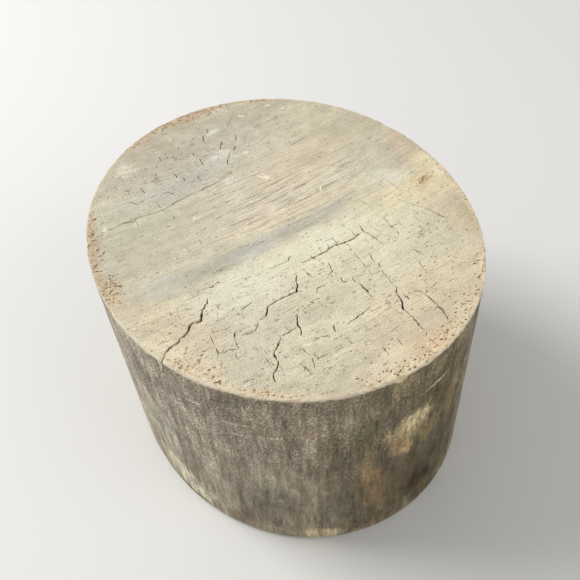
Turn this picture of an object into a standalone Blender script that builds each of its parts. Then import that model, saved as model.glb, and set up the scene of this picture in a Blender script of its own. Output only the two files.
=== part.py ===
"""Hat block: one oval block of end-grain wood, flat on top and straight down its wall, over which
felt and straw crowns are pulled. Its underside holds a steel-lined socket for the spindle of a
blocking stand, closed by an iron plate with four countersunk wood screws.

Units are metres, +Z is up, +Y runs from front to back along the oval's long axis, and the origin
is the centre of the underside.
"""

import math

import bmesh
import bpy

# The wooden block
BLOCK_LENGTH = 0.200
BLOCK_WIDTH = 0.167
BLOCK_HEIGHT = 0.115
OVAL_FULLNESS = 2.05
CROWN_EDGE_RADIUS = 0.0016
BASE_EDGE_RADIUS = 0.0026
OVAL_POINTS = 96
EDGE_SEGMENTS = 3

# The spindle socket in the underside
SPINDLE_DIAMETER = 0.0254
SPINDLE_CLEARANCE = 0.0003
SLEEVE_WALL = 0.0030
SLEEVE_LENGTH = 0.058
SLEEVE_LEAD_IN = 0.0010
SOCKET_RELIEF = 0.004

# The iron plate over the mouth of the socket. Its margin is what it reaches past the sleeve.
PLATE_MARGIN = 0.016
PLATE_THICKNESS = 0.0038
PLATE_SETBACK = 0.0005
PLATE_EDGE_CHAMFER = 0.0006

# The four screws that hold the plate, in the middle of its margin
SCREW_COUNT = 4
SCREW_FIRST_ANGLE = math.radians(45.0)
SCREW_TURN = math.radians(67.0)
SCREW_LENGTH = 0.022
SCREW_HEAD_DIAMETER = 0.0080
SCREW_HEAD_HEIGHT = 0.0022
SCREW_HEAD_RIM = 0.0003
SCREW_SHANK_DIAMETER = 0.0040
SCREW_SINK = 0.0002
SCREW_SLOT_WIDTH = 0.0010
SCREW_SLOT_DEPTH = 0.0009
SCREW_TIP_LENGTH = 0.005

# Gap between pieces that touch, and how far a cutter runs past the face it cuts
GAP = 0.0003
OVERCUT = 0.002
TURNED_STEPS = 32
SCREW_STEPS = 16

# The deepest drying checks in the crown face. A route is written as shares of the oval's half
# width and half length, so that it follows the block, then come the check's width and depth.
CHECK_OVERCUT = 0.001
CHECK_END_DEPTH_SHARE = 0.35
DRYING_CHECKS = {
    "left_front": (
        [(-0.59, -0.37), (-0.62, -0.40), (-0.68, -0.40), (-0.72, -0.443), (-0.765, -0.466),
         (-0.80, -0.475), (-0.85, -0.503), (-0.885, -0.524)],
        0.0010, 0.009,
    ),
    "front": (
        [(-0.33, -0.613), (-0.375, -0.663), (-0.398, -0.70), (-0.40, -0.733), (-0.443, -0.765),
         (-0.46, -0.815)],
        0.0009, 0.008,
    ),
    "front_fork": ([(-0.20, -0.552), (-0.238, -0.60), (-0.241, -0.66)], 0.0007, 0.006),
    "growth_ring": (
        [(-0.12, -0.40), (-0.15, -0.448), (-0.27, -0.455), (-0.326, -0.485), (-0.38, -0.512)],
        0.0007, 0.006,
    ),
    "long_ring": ([(-0.048, -0.312), (0.12, -0.293), (0.31, -0.277)], 0.0006, 0.005),
    "right_front": (
        [(0.283, -0.50), (0.279, -0.59), (0.262, -0.665), (0.240, -0.725), (0.252, -0.82),
         (0.262, -0.86)],
        0.0007, 0.007,
    ),
    "right_ray": ([(0.38, -0.69), (0.383, -0.76), (0.391, -0.81)], 0.0006, 0.005),
    "left_shake": ([(-0.84, 0.29), (-0.60, 0.30), (-0.43, 0.325), (-0.23, 0.355)], 0.0005, 0.004),
}

WOOD = ("weathered_wood", (0.52, 0.44, 0.32), 0.85, 0.0)
STEEL = ("sleeve_steel", (0.42, 0.41, 0.40), 0.40, 1.0)
IRON = ("plate_iron", (0.10, 0.085, 0.075), 0.65, 0.9)
SCREW_STEEL = ("screw_steel", (0.30, 0.27, 0.24), 0.50, 1.0)


def clear_scene():
    for item in list(bpy.data.objects):
        bpy.data.objects.remove(item)


def finish_material(name, colour, roughness, metallic):
    """A plain finish of one colour."""
    material = bpy.data.materials.new(name)
    material.use_nodes = True
    shader = material.node_tree.nodes["Principled BSDF"]
    shader.inputs["Base Color"].default_value = (*colour, 1.0)
    shader.inputs["Roughness"].default_value = roughness
    shader.inputs["Metallic"].default_value = metallic
    material.diffuse_color = (*colour, 1.0)
    return material


def object_from(shape, name, material=None):
    """Turns a finished bmesh into a named object, with its faces pointing outwards."""
    bmesh.ops.recalc_face_normals(shape, faces=shape.faces[:])
    mesh = bpy.data.meshes.new(name)
    shape.to_mesh(mesh)
    shape.free()
    if material:
        mesh.materials.append(material)
    mesh.shade_smooth()
    mesh.set_sharp_from_angle(angle=math.radians(30.0))
    made = bpy.data.objects.new(name, mesh)
    bpy.context.scene.collection.objects.link(made)
    return made


def hide_as_cutter(cutter):
    cutter.hide_render = True
    cutter.display_type = "WIRE"
    return cutter


def cut(target, cutter):
    """Takes the cutter's shape out of the target."""
    hide_as_cutter(cutter)
    boolean = target.modifiers.new(cutter.name, "BOOLEAN")
    boolean.operation = "DIFFERENCE"
    boolean.solver = "EXACT"
    boolean.object = cutter


def turned_shape(profile, steps):
    """A solid turned about Z from (radius, height) points that go round its section.

    A point with no radius lies on the axis and closes the solid there."""
    shape = bmesh.new()
    rings = []
    for radius, height in profile:
        if radius == 0.0:
            rings.append([shape.verts.new((0.0, 0.0, height))])
            continue
        ring = []
        for step in range(steps):
            angle = 2.0 * math.pi * step / steps
            ring.append(shape.verts.new((radius * math.cos(angle), radius * math.sin(angle), height)))
        rings.append(ring)
    for lower, upper in zip(rings, rings[1:] + rings[:1]):
        if len(lower) == 1 and len(upper) == 1:
            continue
        for step in range(steps):
            ahead = (step + 1) % steps
            corners = [lower[step % len(lower)], lower[ahead % len(lower)],
                       upper[ahead % len(upper)], upper[step % len(upper)]]
            shape.faces.new(dict.fromkeys(corners))
    return shape


def turned(name, profile, steps, material=None):
    return object_from(turned_shape(profile, steps), name, material)


def plug_profile(radius, low, high):
    """The section of a plain cylinder."""
    return [(0.0, low), (radius, low), (radius, high), (0.0, high)]


def oval_point(angle, inset=0.0):
    """A point of the hat oval, moved inwards at right angles to the edge."""
    half_width, half_length = BLOCK_WIDTH / 2.0, BLOCK_LENGTH / 2.0
    power = 2.0 / OVAL_FULLNESS
    along_x = math.copysign(abs(math.cos(angle)) ** power, math.cos(angle))
    along_y = math.copysign(abs(math.sin(angle)) ** power, math.sin(angle))
    x, y = half_width * along_x, half_length * along_y
    slope_x = math.copysign(abs(along_x) ** (OVAL_FULLNESS - 1.0), along_x) / half_width
    slope_y = math.copysign(abs(along_y) ** (OVAL_FULLNESS - 1.0), along_y) / half_length
    slope = math.hypot(slope_x, slope_y)
    return x - inset * slope_x / slope, y - inset * slope_y / slope


def edge_steps(radius):
    """How far in and how far along each step of a rounded edge lies, from the flat to the wall."""
    for step in range(EDGE_SEGMENTS + 1):
        turn = 0.5 * math.pi * step / EDGE_SEGMENTS
        yield radius * (1.0 - math.sin(turn)), radius * (1.0 - math.cos(turn))


def oval_block_shape():
    """The solid block: an upright oval wall between two flat faces with rounded edges."""
    levels = list(edge_steps(BASE_EDGE_RADIUS))
    levels += [(inset, BLOCK_HEIGHT - drop) for inset, drop in edge_steps(CROWN_EDGE_RADIUS)][::-1]
    shape = bmesh.new()
    rings = []
    for inset, height in levels:
        ring = []
        for number in range(OVAL_POINTS):
            x, y = oval_point(2.0 * math.pi * number / OVAL_POINTS, inset)
            ring.append(shape.verts.new((x, y, height)))
        rings.append(ring)
    for lower, upper in zip(rings, rings[1:]):
        for number in range(OVAL_POINTS):
            ahead = (number + 1) % OVAL_POINTS
            shape.faces.new((lower[number], lower[ahead], upper[ahead], upper[number]))
    shape.faces.new(rings[0][::-1])
    shape.faces.new(rings[-1])
    return shape


def check_cutter(name, route, width, depth):
    """A wedge along a drying check, open at the crown face and closing to a line at its depth."""
    points = [(x * BLOCK_WIDTH / 2.0, y * BLOCK_LENGTH / 2.0) for x, y in route]
    mouth = BLOCK_HEIGHT + CHECK_OVERCUT
    widening = (depth + CHECK_OVERCUT) / depth
    shape = bmesh.new()
    left, right, root = [], [], []
    last = len(points) - 1
    for number, (x, y) in enumerate(points):
        before, after = points[max(number - 1, 0)], points[min(number + 1, last)]
        run = math.hypot(after[0] - before[0], after[1] - before[1])
        across = ((before[1] - after[1]) / run, (after[0] - before[0]) / run)
        opening = math.sin(math.pi * (number + 0.5) / (last + 1.0))
        sinking = CHECK_END_DEPTH_SHARE + (1.0 - CHECK_END_DEPTH_SHARE) * opening
        half = 0.5 * width * widening * opening
        left.append(shape.verts.new((x + half * across[0], y + half * across[1], mouth)))
        right.append(shape.verts.new((x - half * across[0], y - half * across[1], mouth)))
        root.append(shape.verts.new((x, y, BLOCK_HEIGHT - depth * sinking)))
    for one, two in zip(range(last), range(1, last + 1)):
        shape.faces.new((left[one], left[two], root[two], root[one]))
        shape.faces.new((right[two], right[one], root[one], root[two]))
        shape.faces.new((left[two], left[one], right[one], right[two]))
    shape.faces.new((left[0], root[0], right[0]))
    shape.faces.new((right[last], root[last], left[last]))
    bmesh.ops.triangulate(shape, faces=shape.faces[:])
    return object_from(shape, name)


def plate_back():
    """Height of the plate's inner face. Its outer face is set back from the wood's underside."""
    return PLATE_SETBACK + PLATE_THICKNESS


def sleeve_foot():
    """Height of the sleeve's lower end, which meets the back of the plate."""
    return plate_back() + GAP


def bore_radius():
    """The radius that the spindle slides in."""
    return SPINDLE_DIAMETER / 2.0 + SPINDLE_CLEARANCE


def sleeve_outer_radius():
    return bore_radius() + SLEEVE_WALL


def plate_radius():
    return sleeve_outer_radius() + PLATE_MARGIN


def screw_places():
    """Where the screws sit round the plate: each one's number, then its place."""
    reach = sleeve_outer_radius() + PLATE_MARGIN / 2.0
    for number in range(SCREW_COUNT):
        angle = SCREW_FIRST_ANGLE + 2.0 * math.pi * number / SCREW_COUNT
        yield number + 1, (reach * math.cos(angle), reach * math.sin(angle), PLATE_SETBACK + SCREW_SINK)


def screw_profile(grown=0.0):
    """The section of a countersunk screw, head down at height 0. A grown one makes its hole."""
    head, shank = SCREW_HEAD_DIAMETER / 2.0 + grown, SCREW_SHANK_DIAMETER / 2.0 + grown
    foot = -OVERCUT if grown else 0.0
    return [
        (0.0, foot),
        (head, foot),
        (head, SCREW_HEAD_RIM),
        (shank, SCREW_HEAD_HEIGHT + grown),
        (shank, SCREW_LENGTH - SCREW_TIP_LENGTH),
        (0.0, SCREW_LENGTH + grown),
    ]


def cut_screw_holes(target):
    for number, place in screw_places():
        hole = turned(f"{target.name}_hole_cutter_{number}", screw_profile(GAP), SCREW_STEPS)
        hole.location = place
        cut(target, hole)


def crown_block(material):
    """The wood: the oval block with its checks, the plate's recess, the socket and screw holes."""
    block = object_from(oval_block_shape(), "crown_block", material)
    recess = plug_profile(plate_radius() + GAP, -OVERCUT, plate_back() + GAP)
    cut(block, turned("recess_cutter", recess, 2 * TURNED_STEPS))
    socket_roof = sleeve_foot() + SLEEVE_LENGTH + SOCKET_RELIEF
    socket = plug_profile(sleeve_outer_radius() + GAP, -OVERCUT, socket_roof)
    cut(block, turned("socket_cutter", socket, TURNED_STEPS))
    cut_screw_holes(block)
    for name, (route, width, depth) in DRYING_CHECKS.items():
        cut(block, check_cutter(f"{name}_check_cutter", route, width, depth))
    return block


def spindle_sleeve(material):
    """The steel tube that lines the socket, chamfered where the spindle enters."""
    inner, outer = bore_radius(), sleeve_outer_radius()
    low, high = sleeve_foot(), sleeve_foot() + SLEEVE_LENGTH
    profile = [
        (inner + SLEEVE_LEAD_IN, low),
        (outer, low),
        (outer, high),
        (inner, high),
        (inner, low + SLEEVE_LEAD_IN),
    ]
    return turned("spindle_sleeve", profile, TURNED_STEPS, material)


def socket_plate(material):
    """The iron plate over the socket's mouth, bored for the spindle and countersunk for screws."""
    bore, rim = bore_radius(), plate_radius()
    low, high = PLATE_SETBACK, plate_back()
    profile = [
        (bore + PLATE_EDGE_CHAMFER, low),
        (rim - PLATE_EDGE_CHAMFER, low),
        (rim, low + PLATE_EDGE_CHAMFER),
        (rim, high),
        (bore, high),
        (bore, low + PLATE_EDGE_CHAMFER),
    ]
    plate = turned("socket_plate", profile, 2 * TURNED_STEPS, material)
    cut_screw_holes(plate)
    return plate


def plate_screws(material):
    """The slotted countersunk screws. They share one mesh and differ in place and turn."""
    pattern = object_from(turned_shape(screw_profile(), SCREW_STEPS), "screw_pattern", material)
    slot = bmesh.new()
    bmesh.ops.create_cube(slot, size=1.0)
    size = (SCREW_SLOT_WIDTH, SCREW_HEAD_DIAMETER + 2.0 * OVERCUT, 2.0 * SCREW_SLOT_DEPTH)
    bmesh.ops.scale(slot, vec=size, verts=slot.verts[:])
    cut(pattern, object_from(slot, "slot_cutter"))
    bpy.context.view_layer.update()
    seen = pattern.evaluated_get(bpy.context.evaluated_depsgraph_get())
    slotted = bpy.data.meshes.new_from_object(seen)
    bpy.data.objects.remove(pattern)
    screws = []
    for number, place in screw_places():
        screw = bpy.data.objects.new(f"plate_screw_{number}", slotted)
        bpy.context.scene.collection.objects.link(screw)
        screw.location = place
        screw.rotation_euler = (0.0, 0.0, number * SCREW_TURN)
        screws.append(screw)
    return screws


def main():
    clear_scene()
    root = bpy.data.objects.new("hat_block", None)
    bpy.context.scene.collection.objects.link(root)
    pieces = [
        crown_block(finish_material(*WOOD)),
        spindle_sleeve(finish_material(*STEEL)),
        socket_plate(finish_material(*IRON)),
        *plate_screws(finish_material(*SCREW_STEEL)),
    ]
    for piece in pieces:
        piece.parent = root


main()
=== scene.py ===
"""Looks of the hat block: weathered end grain with real drying checks and pits on its crown, a
dark, handled wall of long grain, and the plate, sleeve and screws of the socket underneath.

The wood is one closed mesh, laid out in millimetres: the crown and the underside are triangulated
round their checks, the wall is a grid that goes round the oval, and a geometry tree then wears the
surfaces. Places on the crown are (x, y) from its middle. Places on the wall are (arc, z), with the
arc walked round the oval from the back, by the left side (-X) to the front.
"""

import math
import random

import bmesh
import bpy
import numpy as np
from mathutils import Matrix, Vector, noise
from mathutils.geometry import delaunay_2d_cdt
from mathutils.kdtree import KDTree


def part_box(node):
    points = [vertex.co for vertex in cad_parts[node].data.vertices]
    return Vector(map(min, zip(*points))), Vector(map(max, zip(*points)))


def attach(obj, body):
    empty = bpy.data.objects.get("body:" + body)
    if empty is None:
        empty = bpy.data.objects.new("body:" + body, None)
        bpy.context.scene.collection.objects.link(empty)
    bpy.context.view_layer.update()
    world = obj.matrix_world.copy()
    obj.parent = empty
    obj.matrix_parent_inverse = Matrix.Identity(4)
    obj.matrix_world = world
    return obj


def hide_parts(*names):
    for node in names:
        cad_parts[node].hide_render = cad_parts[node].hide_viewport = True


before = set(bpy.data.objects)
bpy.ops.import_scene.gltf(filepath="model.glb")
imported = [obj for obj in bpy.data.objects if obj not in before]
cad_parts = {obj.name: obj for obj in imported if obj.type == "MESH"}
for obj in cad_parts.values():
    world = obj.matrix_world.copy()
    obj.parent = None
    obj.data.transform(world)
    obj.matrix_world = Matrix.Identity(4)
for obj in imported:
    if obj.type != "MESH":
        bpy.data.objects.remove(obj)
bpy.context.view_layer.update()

MM = 0.001
BODY = "root"

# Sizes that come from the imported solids, in millimetres
_, block_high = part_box("crown_block")
plate_low, plate_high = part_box("socket_plate")
sleeve_low, sleeve_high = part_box("spindle_sleeve")
screw_low, screw_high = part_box("plate_screw_1")
HALF_WIDTH = block_high.x / MM
HALF_LENGTH = block_high.y / MM
HEIGHT = block_high.z / MM
PLATE_RADIUS = plate_high.x / MM
PLATE_FACE = plate_low.z / MM
PLATE_BACK = plate_high.z / MM
SLEEVE_RADIUS = sleeve_high.x / MM
SLEEVE_FOOT = sleeve_low.z / MM
SLEEVE_TOP = sleeve_high.z / MM
SCREW_REACH = math.hypot(screw_low.x + screw_high.x, screw_low.y + screw_high.y) / 2.0 / MM
SCREW_FACE = screw_low.z / MM
SCREW_TIP = screw_high.z / MM

# The other sizes of the block and its fittings
OVAL_FULLNESS = 2.05
FOOT_RADIUS = 2.6
HOLLOW_PLACE = (300.5, 73.0)
GAP = 0.3
BORE_RADIUS = 13.0
LEAD_IN = 1.0
SOCKET_RELIEF = 4.0
PLATE_EDGE = 0.9
PLATE_MOUTH_EDGE = 0.8
SLEEVE_EDGE = 0.3
SCREW_COUNT = 4
SCREW_HEAD_RADIUS = 4.0
SCREW_HEAD_HEIGHT = 2.2
SCREW_HEAD_RIM = 0.3
SCREW_HEAD_EDGE = [(-0.35, 0.0), (-0.1, 0.08), (0.0, 0.2)]
SHANK_RADIUS = 2.0
TIP_LENGTH = 5.0
SLOT_WIDTH = 1.0
SLOT_DEPTH = 0.9
CUTTER_REACH = 3.0
FIRST_TURN = math.radians(45.0)
SLOT_TURN = math.radians(67.0)

# How fine the meshes are: the points of rings, then millimetres between points
OUTLINE_POINTS = 7201
RECESS_POINTS = 96
BORE_POINTS = 64
HOLE_POINTS = 16
PLATE_POINTS = 128
SLEEVE_POINTS = 96
SCREW_POINTS = 40
CORNER_STEPS = 5
FOOT_STEPS = 5
COLUMN_STEP = 1.25
ROW_STEP = 1.7
CROWN_STEP = 1.6
RIM_BAND_STEP = 1.0
UNDERSIDE_STEP = 4.0
CHECK_STEP = 0.75
PIT_STEP = 0.35
ARRIS_STEP = 0.25
GRID_ROW = 0.866
GRID_SHAKE = 0.22
GRID_GAP = 0.9
GRID_GAP_SHARE = 0.45
LIP_GUARD = 0.22
GUARD_GAP = 0.12
RIM_RINGS = (0.3, 0.65, 1.05, 1.6, 2.3)
RIM_RING_GAP = 0.22
RIM_BAND_START = 2.9
RIM_BAND = 8.0
RIM_CLEARANCE = 3.0
FAR_FROM_RIM = 40.0
SAME_SPOT = 1e-5
WELD = 1e-6
METAL_SHARP = math.radians(30.0)
WOOD_SHARP = math.radians(42.0)

# How checks, pits and hairlines are cut, and how far round them the wood is marked
CHECK_OPENING = 1.22
CHECK_DEPTH_PER_WIDTH = 6.0
CHECK_WANDER = 0.36
CHECK_SURROUND = 1.3
LEAST_DUST_AND_HIGHLIGHT_HALF = 0.27
HAIRLINE_LENGTHS = (1.4, 6.4)
HAIRLINE_WIDTHS = (0.12, 0.29)
PIT_DEPTH_PER_WIDTH = 0.9
PIT_WIDTHS_PER_LENGTH = (0.34, 0.56)
WIDEST_PIT = 0.6
SCATTERED_PIT_LENGTHS = (0.4, 0.85)
LIP_PIT_LENGTHS = (0.35, 0.8)
PIT_GAP = 0.95
GROOVE_SEARCH = 2.0
GROOVE_MARGIN = 0.35

# The seeds of the random draws, and the underside's own sizes
RIM_SEED = 5
CROWN_SEED = 11
UNDERSIDE_SEED = 23
UNDERSIDE_CHECKS = 46
UNDERSIDE_CHECK_WIDTHS = (0.3, 0.75)
UNDERSIDE_CHECK_STEP = 4.5
UNDERSIDE_MARGIN = 6.0
UNDERSIDE_EDGE = 4.5
UNDERSIDE_RISE = 0.4
UNDERSIDE_RISE_REACH = 8.0
PLATE_MARGIN = 4.0


class Outline:
    """The oval seen from above, walked by its arc."""

    def __init__(self):
        turn = np.linspace(0.0, 2.0 * math.pi, OUTLINE_POINTS)
        power = 2.0 / OVAL_FULLNESS
        sine, cosine = np.sin(turn), np.cos(turn)
        self.x = -HALF_WIDTH * np.sign(sine) * np.abs(sine) ** power
        self.y = HALF_LENGTH * np.sign(cosine) * np.abs(cosine) ** power
        self.arcs = np.concatenate([[0.0], np.cumsum(np.hypot(np.diff(self.x), np.diff(self.y)))])
        self.length = float(self.arcs[-1])
        self.tree = KDTree(len(turn))
        for number, (x, y) in enumerate(zip(self.x, self.y)):
            self.tree.insert((x, y, 0.0), number)
        self.tree.balance()

    def at(self, arc, inset=0.0):
        """The point at that arc, moved inwards, with the outward direction there."""
        arc = arc % self.length
        x = float(np.interp(arc, self.arcs, self.x))
        y = float(np.interp(arc, self.arcs, self.y))
        across = math.copysign((abs(x) / HALF_WIDTH) ** (OVAL_FULLNESS - 1.0), x) / HALF_WIDTH
        along = math.copysign((abs(y) / HALF_LENGTH) ** (OVAL_FULLNESS - 1.0), y) / HALF_LENGTH
        size = math.hypot(across, along)
        across, along = across / size, along / size
        return x - inset * across, y - inset * along, across, along

    def nearest(self, x, y):
        """The arc nearest to a point, and how far in from it the point lies."""
        _, number, distance = self.tree.find((x, y, 0.0))
        return float(self.arcs[number]), distance

    def gap(self, one, two):
        """How far apart two arcs are, the short way round."""
        return abs((one - two + self.length / 2.0) % self.length - self.length / 2.0)

    def holds(self, x, y, margin=0.0):
        """Whether a point lies inside the oval, at least that far from its edge."""
        reach = (abs(x) / (HALF_WIDTH - margin)) ** OVAL_FULLNESS
        return reach + (abs(y) / (HALF_LENGTH - margin)) ** OVAL_FULLNESS < 1.0


OUTLINE = Outline()

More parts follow.
